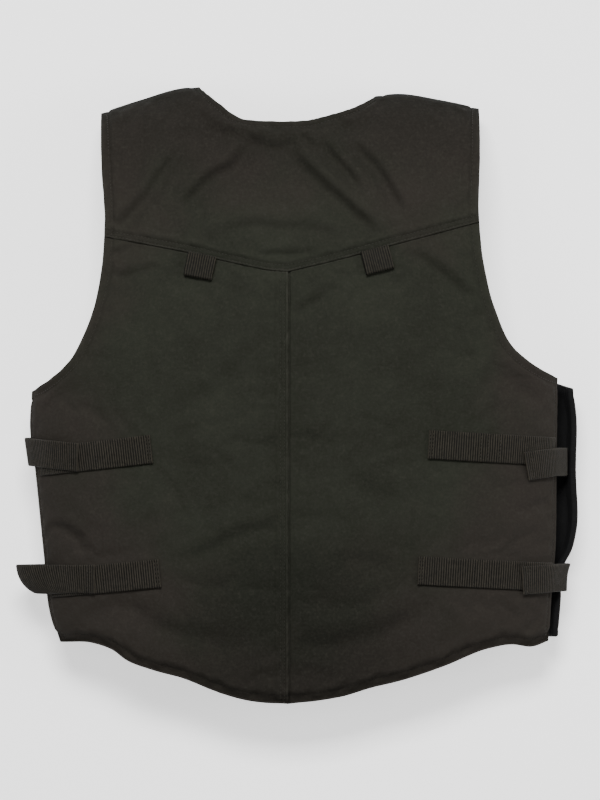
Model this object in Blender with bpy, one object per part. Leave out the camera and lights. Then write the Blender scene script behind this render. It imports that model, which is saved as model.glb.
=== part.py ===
# Equestrian body protector: a padded riding vest with a western yoke, lying on its front.
# Metres, +Z up. While it is drawn, X = 0 is the centre back seam and Y = 0 the lowest point of
# the hem. At the end the whole vest is moved so that the origin is the middle of its footprint.

import math
from collections import namedtuple

import bmesh
import bpy
import numpy as np

# Driving dimensions
PAD_THICKNESS = 0.015  # wall of a padded panel away from its edges
EDGE_THICKNESS = 0.006  # wall where the padding is stitched flat
EDGE_FLAT = 0.006  # width of the flat band beside an edge
EDGE_TAPER = 0.022  # width of the band over which the padding thickens again
HEM_STEP = 0.0028  # how far the back's hem lies below the padding above it
HEM_STEP_START = 0.009  # from the hem, the width of the lowered band
HEM_STEP_WIDTH = 0.011
WEBBING_WIDTH = 0.0255
WEBBING_THICKNESS = 0.0016
SEAM_GAP = 0.0005  # between two panels that are sewn together
LAY_GAP = 0.0006  # between webbing and the cloth that it lies on
STACK_GAP = 0.0005  # between webbing and webbing

# The shape that the foam keeps while the vest lies on its front
SHOULDER_MID_HEIGHT = 0.030  # height of the shoulder seam above the floor
SHOULDER_ROLL = 0.046  # length over which the back turns down to the shoulder seam
SIDE_ROLL = 0.062  # width over which a panel turns towards the side
SIDE_MARGIN = 0.0016  # the back is cut this far short of standing upright at the side
BACK_SIDE_HEIGHT = 0.042
FRONT_LEFT_SIDE_HEIGHT = 0.042
FRONT_RIGHT_SIDE_HEIGHT = 0.050
SIDES_END = 0.300  # above this height the side shape gives way to the shoulder shape
SHOULDERS_BEGIN = 0.430
BOW = 0.018  # how far the back falls from its middle to BOW_HALF_WIDTH
BOW_HALF_WIDTH = 0.240

Point = namedtuple("Point", "out up")
Crown = namedtuple("Crown", "up height")
Crease = namedtuple("Crease", "out_a up_a out_b up_b half_width depth")

# Height of the back's outer face along the centre seam
CROWN = [
    Crown(0.000, 0.079),
    Crown(0.060, 0.090),
    Crown(0.200, 0.104),
    Crown(0.330, 0.108),
    Crown(0.430, 0.100),
    Crown(0.500, 0.086),
    Crown(0.560, 0.072),
]

# Outlines, as distance out from the centre back seam and up from the hem's lowest point
LEFT_SIDE = [
    Point(0.2070, 0.0550),
    Point(0.2142, 0.0750),
    Point(0.2214, 0.1360),
    Point(0.2286, 0.2080),
    Point(0.2335, 0.2500),
    Point(0.2318, 0.2805),
]
RIGHT_SIDE = [
    Point(0.2365, 0.0560),
    Point(0.2385, 0.0930),
    Point(0.2421, 0.1380),
    Point(0.2430, 0.2100),
    Point(0.2440, 0.2925),
]
LEFT_ARMHOLE = [
    Point(0.2318, 0.2805),
    Point(0.2106, 0.2943),
    Point(0.1953, 0.3087),
    Point(0.1800, 0.3375),
    Point(0.1683, 0.3807),
    Point(0.1645, 0.4250),
    Point(0.1675, 0.4850),
    Point(0.1695, 0.5310),
]
RIGHT_ARMHOLE = [
    Point(0.2440, 0.2925),
    Point(0.2151, 0.3087),
    Point(0.1998, 0.3231),
    Point(0.1863, 0.3519),
    Point(0.1755, 0.3951),
    Point(0.1712, 0.4400),
    Point(0.1725, 0.4900),
    Point(0.1730, 0.5355),
]
LEFT_HEM = [
    Point(0.0000, 0.0000),
    Point(0.0250, 0.0012),
    Point(0.0468, 0.0052),
    Point(0.0684, 0.0125),
    Point(0.0900, 0.0215),
    Point(0.1224, 0.0306),
    Point(0.1440, 0.0387),
    Point(0.1580, 0.0485),
    Point(0.1764, 0.0545),
    Point(0.2070, 0.0550),
]
RIGHT_HEM = [
    Point(0.0000, 0.0000),
    Point(0.0288, 0.0030),
    Point(0.0504, 0.0068),
    Point(0.0720, 0.0135),
    Point(0.1044, 0.0216),
    Point(0.1368, 0.0324),
    Point(0.1800, 0.0495),
    Point(0.2016, 0.0531),
    Point(0.2200, 0.0508),
    Point(0.2365, 0.0560),
]
LEFT_SHOULDER = [
    Point(0.1695, 0.5310),
    Point(0.1332, 0.5427),
    Point(0.0960, 0.5535),
    Point(0.0800, 0.5553),
]
RIGHT_SHOULDER = [
    Point(0.1730, 0.5355),
    Point(0.1368, 0.5427),
    Point(0.1000, 0.5485),
    Point(0.0790, 0.5470),
]
LEFT_NECKLINE = [
    Point(0.0800, 0.5553),
    Point(0.0640, 0.5425),
    Point(0.0414, 0.5265),
    Point(0.0200, 0.5242),
    Point(0.0000, 0.5238),
]
RIGHT_NECKLINE = [
    Point(0.0790, 0.5470),
    Point(0.0594, 0.5373),
    Point(0.0378, 0.5301),
    Point(0.0180, 0.5250),
    Point(0.0000, 0.5238),
]

# The yoke seam runs straight from each armhole down to its point on the centre seam
YOKE_POINT_UP = 0.3885
LEFT_YOKE_END = Point(0.1645, 0.4207)
RIGHT_YOKE_END = Point(0.1715, 0.4360)

# The front, which lies underneath. It is finished plainly: two panels that close with a zip.
FRONT_HEM_UP = 0.052
FRONT_CENTRE = 0.003  # how far the front's middle lies to the right of the back's
ZIP_HALF_OPENING = 0.005
FRONT_NECK_UP = 0.444
LEFT_FRONT_SIDE = [
    Point(0.2010, 0.0760),
    Point(0.2130, 0.1400),
    Point(0.2225, 0.2100),
    Point(0.2268, 0.2740),
]
RIGHT_FRONT_SIDE = [
    Point(0.2430, 0.0640),
    Point(0.2472, 0.0900),
    Point(0.2500, 0.1230),
    Point(0.2575, 0.1380),
    Point(0.2610, 0.1520),
    Point(0.2612, 0.2100),
    Point(0.2612, 0.2620),
    Point(0.2585, 0.2830),
]
LEFT_FRONT_ARMHOLE = [
    Point(0.2268, 0.2740),
    Point(0.1950, 0.2930),
    Point(0.1720, 0.3280),
    Point(0.1580, 0.3800),
    Point(0.1545, 0.4300),
    Point(0.1590, 0.4850),
    Point(0.1695, 0.5310),
]
RIGHT_FRONT_ARMHOLE = [
    Point(0.2585, 0.2830),
    Point(0.2330, 0.2920),
    Point(0.1960, 0.3080),
    Point(0.1740, 0.3420),
    Point(0.1620, 0.3950),
    Point(0.1600, 0.4400),
    Point(0.1640, 0.4900),
    Point(0.1730, 0.5355),
]
LEFT_FRONT_NECK = [
    Point(0.0020, FRONT_NECK_UP),
    Point(0.0380, 0.4570),
    Point(0.0610, 0.4850),
    Point(0.0745, 0.5200),
    Point(0.0800, 0.5553),
]
RIGHT_FRONT_NECK = [
    Point(0.0080, FRONT_NECK_UP),
    Point(0.0430, 0.4560),
    Point(0.0640, 0.4820),
    Point(0.0755, 0.5150),
    Point(0.0790, 0.5470),
]
LEFT_FRONT_HEM = [Point(0.0020, FRONT_HEM_UP), Point(0.1050, 0.0560), Point(0.2010, 0.0760)]
RIGHT_FRONT_HEM = [Point(0.0080, FRONT_HEM_UP), Point(0.1300, 0.0545), Point(0.2430, 0.0640)]

# Soft creases that the lying cloth makes on the back. Out is negative on the left.
CREASES = [
    Crease(-0.018, 0.497, -0.092, 0.425, 0.0075, 0.0022),
    Crease(-0.048, 0.500, -0.145, 0.432, 0.0070, 0.0014),
    Crease(0.020, 0.500, 0.108, 0.415, 0.0075, 0.0026),
    Crease(0.042, 0.512, 0.096, 0.452, 0.0065, 0.0018),
    Crease(0.100, 0.418, 0.185, 0.352, 0.0090, 0.0016),
    Crease(-0.030, 0.450, 0.070, 0.452, 0.0120, 0.0014),
    Crease(0.048, 0.060, 0.118, 0.078, 0.0110, 0.0012),
]

# Webbing strips sewn on the back: middle of the inner end, middle of the outer end
Strip = namedtuple("Strip", "name inner outer")
STRIPS = [
    Strip("left_upper", Point(-0.1215, 0.2290), Point(-0.2220, 0.2175)),
    Strip("left_lower", Point(-0.1143, 0.1180), Point(-0.2120, 0.1085)),
    Strip("right_upper", Point(0.1252, 0.2332), Point(0.2380, 0.2265)),
    Strip("right_lower", Point(0.1161, 0.1206), Point(0.2360, 0.1140)),
]

# Straps that come from the front, turn round the side and stick down on the strips. slack is how
# far the upper edge of the turn stands out from the side, and skew how far the free end leans.
# The upper right strap rises inside the front's side wing, and the others outside it.
SideStrap = namedtuple("SideStrap", "name free edge_up slack skew")
SIDE_STRAPS = [
    SideStrap("left_upper", Point(-0.1863, 0.2215), 0.2262, 0.0, 0.000),
    SideStrap("left_lower", Point(-0.1715, 0.1128), 0.1120, 0.0205, 0.000),
    SideStrap("right_upper", Point(0.2150, 0.2135), 0.2170, 0.0, 0.005),
    SideStrap("right_lower", Point(0.2090, 0.1110), 0.1130, 0.0, 0.002),
]
LEFT_STRAP_SEWN_AT = 0.1985  # where a left strap is sewn under the front, out from the middle
RIGHT_STRAP_SEWN_AT = 0.2190
INNER_STRAP_BEND = [(0.2450, 0.0545), (0.2486, 0.0470), (0.2500, 0.0415)]
INNER_STRAP_SEWN = (0.2590, 0.2535)  # where the wing carries it, from its rim inwards
INNER_STRAP_ROOM = 0.0010

# Webbing loops caught in the yoke seam: how far out along the seam they hang
Loop = namedtuple("Loop", "name root_out")
LOOPS = [Loop("left", -0.0765), Loop("right", 0.0770)]
LOOP_LENGTH = 0.0190
LOOP_HALF_OPENING = 0.0008

ZIP_TAPE_WIDTH = 0.020
ZIP_TAPE_THICKNESS = 0.0015
ZIP_CHAIN_WIDTH = 0.006
ZIP_CHAIN_LOW = 0.0018

CLOTH_COLOUR = (0.026, 0.025, 0.020, 1.0)
FRONT_COLOUR = (0.016, 0.014, 0.014, 1.0)
WEBBING_COLOUR = (0.028, 0.025, 0.021, 1.0)
ZIP_COLOUR = (0.010, 0.010, 0.010, 1.0)


# Curves and interpolation
def hermite(values, positions, where):
    """Smooth curve through the values, which may be rows of numbers, at the positions."""
    positions = np.asarray(positions, float)
    values = np.asarray(values, float)
    slopes = np.gradient(values, positions, axis=0)
    where = np.clip(where, positions[0], positions[-1])
    index = np.clip(np.searchsorted(positions, where, side="right") - 1, 0, len(positions) - 2)
    step = positions[index + 1] - positions[index]
    t = (where - positions[index]) / step
    if values.ndim > 1:
        t = t[..., None]
        step = step[..., None]
    return (
        (2 * t**3 - 3 * t**2 + 1) * values[index]
        + (t**3 - 2 * t**2 + t) * step * slopes[index]
        + (3 * t**2 - 2 * t**3) * values[index + 1]
        + (t**3 - t**2) * step * slopes[index + 1]
    )


def smooth_step(t):
    t = np.clip(t, 0.0, 1.0)
    return t * t * (3 - 2 * t)


def arc_lengths(line):
    return np.concatenate([[0.0], np.cumsum(np.linalg.norm(np.diff(line, axis=0), axis=1))])


def resampled(line, shares):
    """Points of the polyline at these shares of its length."""
    lengths = arc_lengths(line)
    wanted = np.asarray(shares) * lengths[-1]
    return np.stack([np.interp(wanted, lengths, line[:, k]) for k in range(line.shape[1])], axis=1)


def through(points, side):
    """Fine polyline of a smooth curve. side is -1 on the left and 1 on the right."""
    line = np.array([(side * p.out, p.up) for p in points])
    lengths = arc_lengths(line)
    return hermite(line, lengths, np.linspace(0, lengths[-1], 40 * len(points)))


def cut_at(line, point):
    """The polyline's two parts, before and after its point nearest to this one."""
    index = int(np.argmin(np.linalg.norm(line - np.asarray(point), axis=1)))
    line = line.copy()
    line[index] = point
    return line[: index + 1], line[index:]


def shares(cells, start=(), end=()):
    """Rising numbers from 0 to 1: bands of these widths at the start and end, even cells between."""
    low = sum(start)
    high = 1 - sum(end)
    first = np.concatenate([[0.0], np.cumsum(start)])[:-1]
    last = 1 - np.concatenate([[0.0], np.cumsum(end)])[:-1][::-1]
    return np.concatenate([first, np.linspace(low, high, cells + 1), last])


def chained(pieces, where):
    """A side of a panel from (polyline, share at its end) pieces, read at the shares in where."""
    rows = np.empty((len(where), 2))
    begin = 0.0
    for line, finish in pieces:
        inside = (where >= begin - 1e-9) & (where <= finish + 1e-9)
        rows[inside] = resampled(line, (where[inside] - begin) / (finish - begin))
        begin = finish
    return rows


# The heights of the lying vest
def side_line(points, above):
    """Where a panel would stand upright at the side, as rows of up and rows of out."""
    edge = through(points, 1)
    ups = list(edge[:, 1]) + [row[0] for row in above]
    outs = list(edge[:, 0] + SIDE_MARGIN) + [row[1] for row in above]
    return ups, outs


BACK_SIDES = {
    -1: side_line(LEFT_SIDE, [(0.318, 0.2450), (0.360, 0.2520), (0.560, 0.2520)]),
    1: side_line(RIGHT_SIDE, [(0.330, 0.2560), (0.370, 0.2620), (0.560, 0.2620)]),
}
FRONT_SIDES = {
    -1: side_line(LEFT_FRONT_SIDE, [(0.315, 0.2380), (0.360, 0.2460), (0.560, 0.2480)]),
    1: side_line(RIGHT_FRONT_SIDE, [(0.330, 0.2620), (0.370, 0.2640), (0.560, 0.2640)]),
}
FRONT_SIDE_HEIGHTS = {-1: FRONT_LEFT_SIDE_HEIGHT, 1: FRONT_RIGHT_SIDE_HEIGHT}


left_shoulder = through(LEFT_SHOULDER, -1)
right_shoulder = through(RIGHT_SHOULDER, 1)
FOLD = np.concatenate(
    [
        [(-0.26, 0.505)],
        left_shoulder,
        [(-0.040, 0.5560), (0.040, 0.5500)],
        right_shoulder[::-1],
        [(0.26, 0.514)],
    ]
)


def shoulder_line(x):
    """How far up the shoulder seam lies. Across the neck a flat curve joins the two seams."""
    return np.interp(x, FOLD[:, 0], FOLD[:, 1])


def crease_depth(x, y):
    depth = np.zeros(np.broadcast(x, y).shape)
    for row in CREASES:
        start = np.array([row.out_a, row.up_a])
        span = np.array([row.out_b, row.up_b]) - start
        length = np.hypot(*span)
        along = ((x - start[0]) * span[0] + (y - start[1]) * span[1]) / length
        across = ((x - start[0]) * span[1] - (y - start[1]) * span[0]) / length
        ends = smooth_step((along + 0.012) / 0.03) * smooth_step((length + 0.012 - along) / 0.03)
        depth += row.depth * ends * np.exp(-((across / row.half_width) ** 2))
    return depth


def crown(x, y):
    """Height of the back's outer face where it isn't rolled."""
    ups = [row.up for row in CROWN]
    heights = [row.height for row in CROWN]
    return hermite(heights, ups, y) - BOW * (x / BOW_HALF_WIDTH) ** 2 - crease_depth(x, y)


def rolls(x, y, sides):
    """Sine and cosine of the roll towards the shoulder and of the roll towards the side."""
    fold = shoulder_line(x)
    to_shoulder = np.clip((y - fold + SHOULDER_ROLL) / SHOULDER_ROLL, 0, 1)
    outward = np.where(x < 0, np.interp(y, *sides[-1]), np.interp(y, *sides[1]))
    to_side = np.clip((np.abs(x) - outward + SIDE_ROLL) / SIDE_ROLL, 0, 1)
    return to_shoulder, np.sqrt(1 - to_shoulder**2), to_side, np.sqrt(1 - to_side**2)


def fold_slope(x):
    return (shoulder_line(x + 0.004) - shoulder_line(x - 0.004)) / 0.008


def upright_height(side_height, y):
    share = smooth_step((y - SIDES_END) / (SHOULDERS_BEGIN - SIDES_END))
    return side_height + (SHOULDER_MID_HEIGHT - side_height) * share


def back_surface(x, y):
    """Outer face of the back: points, and directions that point out of it."""
    x, y = np.broadcast_arrays(np.asarray(x, float), np.asarray(y, float))
    up_sin, up_cos, out_sin, out_cos = rolls(x, y, BACK_SIDES)
    base = upright_height(BACK_SIDE_HEIGHT, y) + SEAM_GAP
    rise = crown(x, y) - base
    step = 0.0005
    slope_x = (crown(x + step, y) - crown(x - step, y)) / (2 * step)
    slope_y = (crown(x, y + step) - crown(x, y - step)) / (2 * step)
    level = up_cos * out_cos
    sideways = np.sign(x) * rise * up_cos**2 * out_sin / SIDE_ROLL
    upwards = rise * out_cos**2 * up_sin / SHOULDER_ROLL
    normal = np.stack(
        [
            sideways - upwards * fold_slope(x) - slope_x * level**2,
            upwards - slope_y * level**2,
            level + 1e-9,
        ],
        axis=-1,
    )
    normal /= np.linalg.norm(normal, axis=-1, keepdims=True)
    return np.stack([x, y, base + rise * level], axis=-1), normal


def front_surface(x, y):
    """Outer face of the front, which is flat on the floor away from the sides and shoulders."""
    x, y = np.broadcast_arrays(np.asarray(x, float), np.asarray(y, float))
    up_sin, up_cos, out_sin, out_cos = rolls(x, y, FRONT_SIDES)
    side_height = np.where(x < 0, FRONT_SIDE_HEIGHTS[-1], FRONT_SIDE_HEIGHTS[1])
    rise = upright_height(side_height, y)
    level = up_cos * out_cos
    sideways = np.sign(x) * rise * up_cos**2 * out_sin / SIDE_ROLL
    upwards = rise * out_cos**2 * up_sin / SHOULDER_ROLL
    normal = np.stack([sideways - upwards * fold_slope(x), upwards, -level - 1e-9], axis=-1)
    normal /= np.linalg.norm(normal, axis=-1, keepdims=True)
    return np.stack([x, y, rise * (1 - level)], axis=-1), normal


# Meshes
def add_mesh(name, points, faces, material):
    points = np.asarray(points)
    corners = points[np.array([face[:3] for face in faces])]
    mesh = bpy.data.meshes.new(name)
    mesh.from_pydata([tuple(p) for p in points], [], [tuple(face) for face in faces])
    mesh.update()
    bm = bmesh.new()
    bm.from_mesh(mesh)
    bmesh.ops.triangulate(bm, faces=bm.faces[:])
    if bm.calc_volume(signed=True) < 0:
        bmesh.ops.reverse_faces(bm, faces=bm.faces[:])
    bm.to_mesh(mesh)
    bm.free()
    mesh.shade_smooth()
    mesh.set_sharp_from_angle(angle=math.radians(50))
    mesh.materials.append(material)
    obj = bpy.data.objects.new(name, mesh)
    bpy.context.collection.objects.link(obj)
    obj.parent = vest
    return obj


def shell(name, outer, inner, material):
    """One closed body between two grids of points of the same shape."""
    rows, columns = outer.shape[:2]
    points = np.concatenate([outer.reshape(-1, 3), inner.reshape(-1, 3)])
    top = np.arange(rows * columns).reshape(rows, columns)
    under = top + rows * columns
    faces = []
    for i in range(rows - 1):
        for j in range(columns - 1):
            faces.append((top[i, j], top[i + 1, j], top[i + 1, j + 1], top[i, j + 1]))
            faces.append((under[i, j], under[i, j + 1], under[i + 1, j + 1], under[i + 1, j]))
    loop = [(i, 0) for i in range(rows - 1)]
    loop += [(rows - 1, j) for j in range(columns - 1)]
    loop += [(i, columns - 1) for i in range(rows - 1, 0, -1)]
    loop += [(0, j) for j in range(columns - 1, 0, -1)]
    for here, following in zip(loop, loop[1:] + loop[:1]):
        faces.append((top[here], under[here], under[following], top[following]))
    return add_mesh(name, points, faces, material)


def patch(bottom, top, low, high):
    """Grid inside four sides. bottom and top run with the columns, low and high with the rows."""
    u = 0.5 * (arc_lengths(bottom) / arc_lengths(bottom)[-1] + arc_lengths(top) / arc_lengths(top)[-1])
    v = 0.5 * (arc_lengths(low) / arc_lengths(low)[-1] + arc_lengths(high) / arc_lengths(high)[-1])
    u = u[None, :, None]
    v = v[:, None, None]
    ruled = (1 - v) * bottom[None] + v * top[None] + (1 - u) * low[:, None] + u * high[:, None]
    corners = (
        (1 - u) * (1 - v) * bottom[0]
        + u * (1 - v) * bottom[-1]
        + (1 - u) * v * top[0]
        + u * v * top[-1]
    )
    return ruled - corners


def edge_distance(points, edges):
    """Distance of each point from the nearest point of the edges, which are rows of points."""
    flat = points.reshape(-1, 3)
    line = np.concatenate(edges)
    away = np.linalg.norm(flat[:, None] - line[None], axis=2).min(axis=1)
    return away.reshape(points.shape[:-1])


def wall(away):
    """Thickness of a padded panel at this distance from its edge."""
    return EDGE_THICKNESS + (PAD_THICKNESS - EDGE_THICKNESS) * smooth_step((away - EDGE_FLAT) / EDGE_TAPER)


def padded(name, plan, surface, edges, hem, material):
    """A padded panel: thick in the middle, thin by its edges, and standing over its hem."""
    points, normal = surface(plan[..., 0], plan[..., 1])
    sewn = [surface(line[:, 0], line[:, 1])[0] for line in edges]
    thickness = wall(edge_distance(points, sewn))
    outer = points
    if hem is not None:
        away = edge_distance(points, [surface(hem[:, 0], hem[:, 1])[0]])
        drop = HEM_STEP * (1 - smooth_step((away - HEM_STEP_START) / HEM_STEP_WIDTH))
        outer = points - normal * drop[..., None]
        thickness = thickness - 0.4 * drop
    inner = outer - normal * thickness[..., None]
    return shell(name, outer, inner, material)


def ribbon(name, under, material):
    """Webbing: a grid of points on its under face, raised by its thickness."""
    along = np.gradient(under, axis=0)
    across = np.gradient(under, axis=1)
    normal = np.cross(along, across)
    normal /= np.linalg.norm(normal, axis=2, keepdims=True)
    return shell(name, under + normal * WEBBING_THICKNESS, under, material)


def back_strip(name, inner, outer, material):
    """Webbing sewn flat on the back, from its inner end out to the side."""
    start = np.array(inner)
    span = np.array(outer) - start
    across = np.array([-span[1], span[0]]) / np.hypot(*span)
    along = shares(8, end=(0.022, 0.028, 0.035, 0.045, 0.055, 0.07))
    width = np.linspace(-0.5, 0.5, 4) * WEBBING_WIDTH
    plan = start + along[:, None, None] * span + width[None, :, None] * across
    points, normal = back_surface(plan[..., 0], plan[..., 1])
    return ribbon(name, points + normal * LAY_GAP, material)


def taut(path):
    """The path pulled tight: its points on the outside of a turn that goes out, down and in."""
    kept = []
    for point in path:
        while len(kept) > 1:
            first = kept[-1] - kept[-2]
            second = point - kept[-1]
            if first[0] * second[2] - first[2] * second[0] < 0:
                break
            kept.pop()
        kept.append(point)
    return np.array(kept)


def lifted(surface, x, y, side, clearance):
    """Points over a surface, with their distance out instead of x."""
    points, normal = surface(side * x, y)
    flat = normal * (1, 0, 1)
    flat /= np.linalg.norm(flat, axis=-1, keepdims=True)
    points = points + flat * np.reshape(clearance, (-1, 1))
    return points * (side, 1, 1)


def round_edge(point, clearance, high, low):
    """Points round an edge, from one angle over the horizontal down to another, in degrees."""
    angle = np.radians(np.linspace(high, low, 9))
    swing = np.stack([np.cos(angle), np.zeros(9), np.sin(angle)], axis=1)
    return point + clearance * swing


def strap_path(row, side, across, sewn_at, inside):
    """Under face of one side strap, from its free end to where it is sewn to the front."""
    over_strip = LAY_GAP + WEBBING_THICKNESS + STACK_GAP
    edge_up = row.edge_up + across
    sides = BACK_SIDES[side]
    edge_out = np.interp(edge_up, *sides) - SIDE_MARGIN
    start = abs(row.free.out) + row.skew * (0.5 + across / WEBBING_WIDTH)
    stop = edge_out if not inside else 0.2370
    share = np.sin(np.linspace(0, 0.5 * math.pi, 60))
    out = start + (stop - start) * share
    up = row.free.up + (row.edge_up - row.free.up) * share + across
    path = lifted(back_surface, out, up, side, over_strip)
    if inside:
        bend = np.array([(x, edge_up, z) for x, z in INNER_STRAP_BEND])
        held = np.linspace(*INNER_STRAP_SEWN, 4)
        points, normal = front_surface(side * held, np.full(4, edge_up))
        rim = lifted(front_surface, np.array([np.interp(edge_up, *FRONT_SIDES[side])]), edge_up, side, 0)
        away = np.linalg.norm(points * (side, 1, 1) - rim, axis=1)
        reach = wall(away) + LAY_GAP + WEBBING_THICKNESS + INNER_STRAP_ROOM
        wing = (points - normal * reach[:, None]) * (side, 1, 1)
        wing[:, 1] = edge_up
        knots = np.concatenate([path[::12], path[-1:], bend, wing])
        return hermite(knots, arc_lengths(knots), np.linspace(0, arc_lengths(knots)[-1], 200))
    rim = np.interp(edge_up, *FRONT_SIDES[side]) - SIDE_MARGIN
    out = np.linspace(rim, sewn_at, 60)
    clearance = np.linspace(0.0024, 1.5 * LAY_GAP, 60)
    under = lifted(front_surface, out, np.full(60, edge_up), side, clearance)
    back_edge = lifted(back_surface, np.array([edge_out]), edge_up, side, 0)
    front_edge = lifted(front_surface, np.array([rim]), edge_up, side, 0)
    corners = [round_edge(back_edge, over_strip, 10, -50), round_edge(front_edge, 0.0024, 50, -14)]
    return taut(np.concatenate([path] + corners + [under]))


def side_strap(row, side, sewn_at, inside, material):
    columns = []
    for across in np.linspace(0.5, -0.5, 4) * WEBBING_WIDTH:
        path = strap_path(row, side, across, sewn_at, inside)
        lengths = arc_lengths(path)
        path = resampled(path, np.linspace(0, 1, 31))
        if row.slack:
            below = 0.5 - across / WEBBING_WIDTH
            wanted = np.linspace(0, 1, 31) * lengths[-1]
            turn = np.clip((wanted - 0.030) / (lengths[-1] - 0.030), 0, 1)
            path[:, 0] += row.slack * math.sqrt(1 - below**2) * np.sin(math.pi * turn) ** 1.5
        columns.append(path * (side, 1, 1))
    grid = np.stack(columns, axis=1)
    if side > 0:
        grid = grid[:, ::-1]
    return ribbon("side_strap_" + row.name, grid, material)


def hanging_loop(row, end, material):
    """Webbing folded into a flat loop, hanging square to the yoke seam."""
    side = np.sign(row.root_out)
    seam = np.array([side * end.out, end.up - YOKE_POINT_UP])
    seam /= np.hypot(*seam)
    down = np.array([seam[1], -seam[0]]) * side
    root = np.array([row.root_out, YOKE_POINT_UP + abs(row.root_out) * abs(seam[1] / seam[0])])
    low = LAY_GAP + WEBBING_THICKNESS
    reach = LOOP_LENGTH - LOOP_HALF_OPENING
    turn = np.linspace(-0.5, 0.5, 7) * math.pi
    away = [0.0010, 0.4 * reach] + list(reach + LOOP_HALF_OPENING * np.cos(turn)) + [0.4 * reach, 0.0010]
    lift = [low, low] + list(low + LOOP_HALF_OPENING * (1 + np.sin(turn)))
    lift += [low + 2 * LOOP_HALF_OPENING] * 2
    width = np.linspace(-0.5, 0.5, 4) * WEBBING_WIDTH
    plan = root + np.array(away)[:, None, None] * down + width[None, :, None] * seam * side
    points, normal = back_surface(plan[..., 0], plan[..., 1])
    inner = points + normal * np.array(lift)[:, None, None]
    return ribbon("hanging_loop_" + row.name, inner[:, ::-1], material)


def zip_strip(material):
    """The closed zip between the two front panels, as one plain strip."""
    top = EDGE_THICKNESS + 0.0003
    profile = [
        (-ZIP_CHAIN_WIDTH / 2, ZIP_CHAIN_LOW),
        (ZIP_CHAIN_WIDTH / 2, ZIP_CHAIN_LOW),
        (ZIP_CHAIN_WIDTH / 2, top),
        (ZIP_TAPE_WIDTH / 2, top),
        (ZIP_TAPE_WIDTH / 2, top + ZIP_TAPE_THICKNESS),
        (-ZIP_TAPE_WIDTH / 2, top + ZIP_TAPE_THICKNESS),
        (-ZIP_TAPE_WIDTH / 2, top),
        (-ZIP_CHAIN_WIDTH / 2, top),
    ]
    points = []
    for up in (FRONT_HEM_UP + 0.003, FRONT_NECK_UP - 0.003):
        points += [(FRONT_CENTRE + x, up, z) for x, z in profile]
    count = len(profile)
    faces = [tuple(range(count)), tuple(range(2 * count - 1, count - 1, -1))]
    for k in range(count):
        following = (k + 1) % count
        faces.append((k, k + count, following + count, following))
    return add_mesh("front_zip", points, faces, material)


def new_material(name, colour, roughness):
    material = bpy.data.materials.new(name)
    material.use_nodes = True
    shader = material.node_tree.nodes["Principled BSDF"]
    shader.inputs["Base Color"].default_value = colour
    shader.inputs["Roughness"].default_value = roughness
    shader.inputs["Metallic"].default_value = 0.0
    return material


for old in list(bpy.data.objects):
    bpy.data.objects.remove(old)
vest = bpy.data.objects.new("body_protector", None)
bpy.context.collection.objects.link(vest)

cloth = new_material("waxed_cloth", CLOTH_COLOUR, 0.85)
front_cloth = new_material("front_cloth", FRONT_COLOUR, 0.85)
webbing = new_material("ribbed_webbing", WEBBING_COLOUR, 0.8)
zip_plastic = new_material("zip_plastic", ZIP_COLOUR, 0.5)

# Bands of cells that follow the rolls, as shares of a panel's width or length
SIDE_BANDS = (0.016, 0.026, 0.033, 0.040, 0.046, 0.049, 0.052)
SHOULDER_BANDS = (0.0077, 0.023, 0.037, 0.049, 0.071, 0.081, 0.085)
FRONT_SHOULDER_BANDS = (0.0020, 0.0060, 0.0100, 0.0130, 0.0190, 0.0210, 0.0230)
HEM_BANDS = (0.020, 0.016, 0.016, 0.022)
ZIP_BANDS = (0.034, 0.050, 0.055)

armholes = {-1: through(LEFT_ARMHOLE, -1), 1: through(RIGHT_ARMHOLE, 1)}
yoke_ends = {-1: LEFT_YOKE_END, 1: RIGHT_YOKE_END}
below_yoke = {}
above_yoke = {}
for side in (-1, 1):
    end = (side * yoke_ends[side].out, yoke_ends[side].up)
    below_yoke[side], above_yoke[side] = cut_at(armholes[side], end)

# The back below the yoke
for side, word, hem_points, side_points in (
    (-1, "left", LEFT_HEM, LEFT_SIDE),
    (1, "right", RIGHT_HEM, RIGHT_SIDE),
):
    columns = shares(9, end=SIDE_BANDS)
    hem_end = sum(HEM_BANDS)
    rows = np.concatenate(
        [
            shares(8, start=HEM_BANDS)[:4],
            np.linspace(hem_end, 0.6, 9),
            np.linspace(0.6, 1.0, 8)[1:],
        ]
    )
    hem = through(hem_points, side)
    seam = np.array([(0.0, YOKE_POINT_UP), (side * yoke_ends[side].out, yoke_ends[side].up)])
    centre = np.array([(0.0, 0.0), (0.0, YOKE_POINT_UP)])
    edge = through(side_points, side)
    bottom = resampled(hem, columns)
    top = resampled(seam, columns)
    low = resampled(centre, rows)
    high = chained([(edge, 0.6), (below_yoke[side], 1.0)], rows)
    plan = patch(bottom, top, low, high)
    half_gap = 0.5 * SEAM_GAP
    plan[..., 0] += side * half_gap * (1 - columns[None, :])
    plan[..., 1] -= half_gap * rows[:, None]
    edges = [hem, resampled(seam, np.linspace(0, 1, 80)), resampled(centre, np.linspace(0, 1, 160))]
    edges += [edge, below_yoke[side]]
    padded(f"back_{word}_panel", plan, back_surface, edges, hem, cloth)

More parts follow.
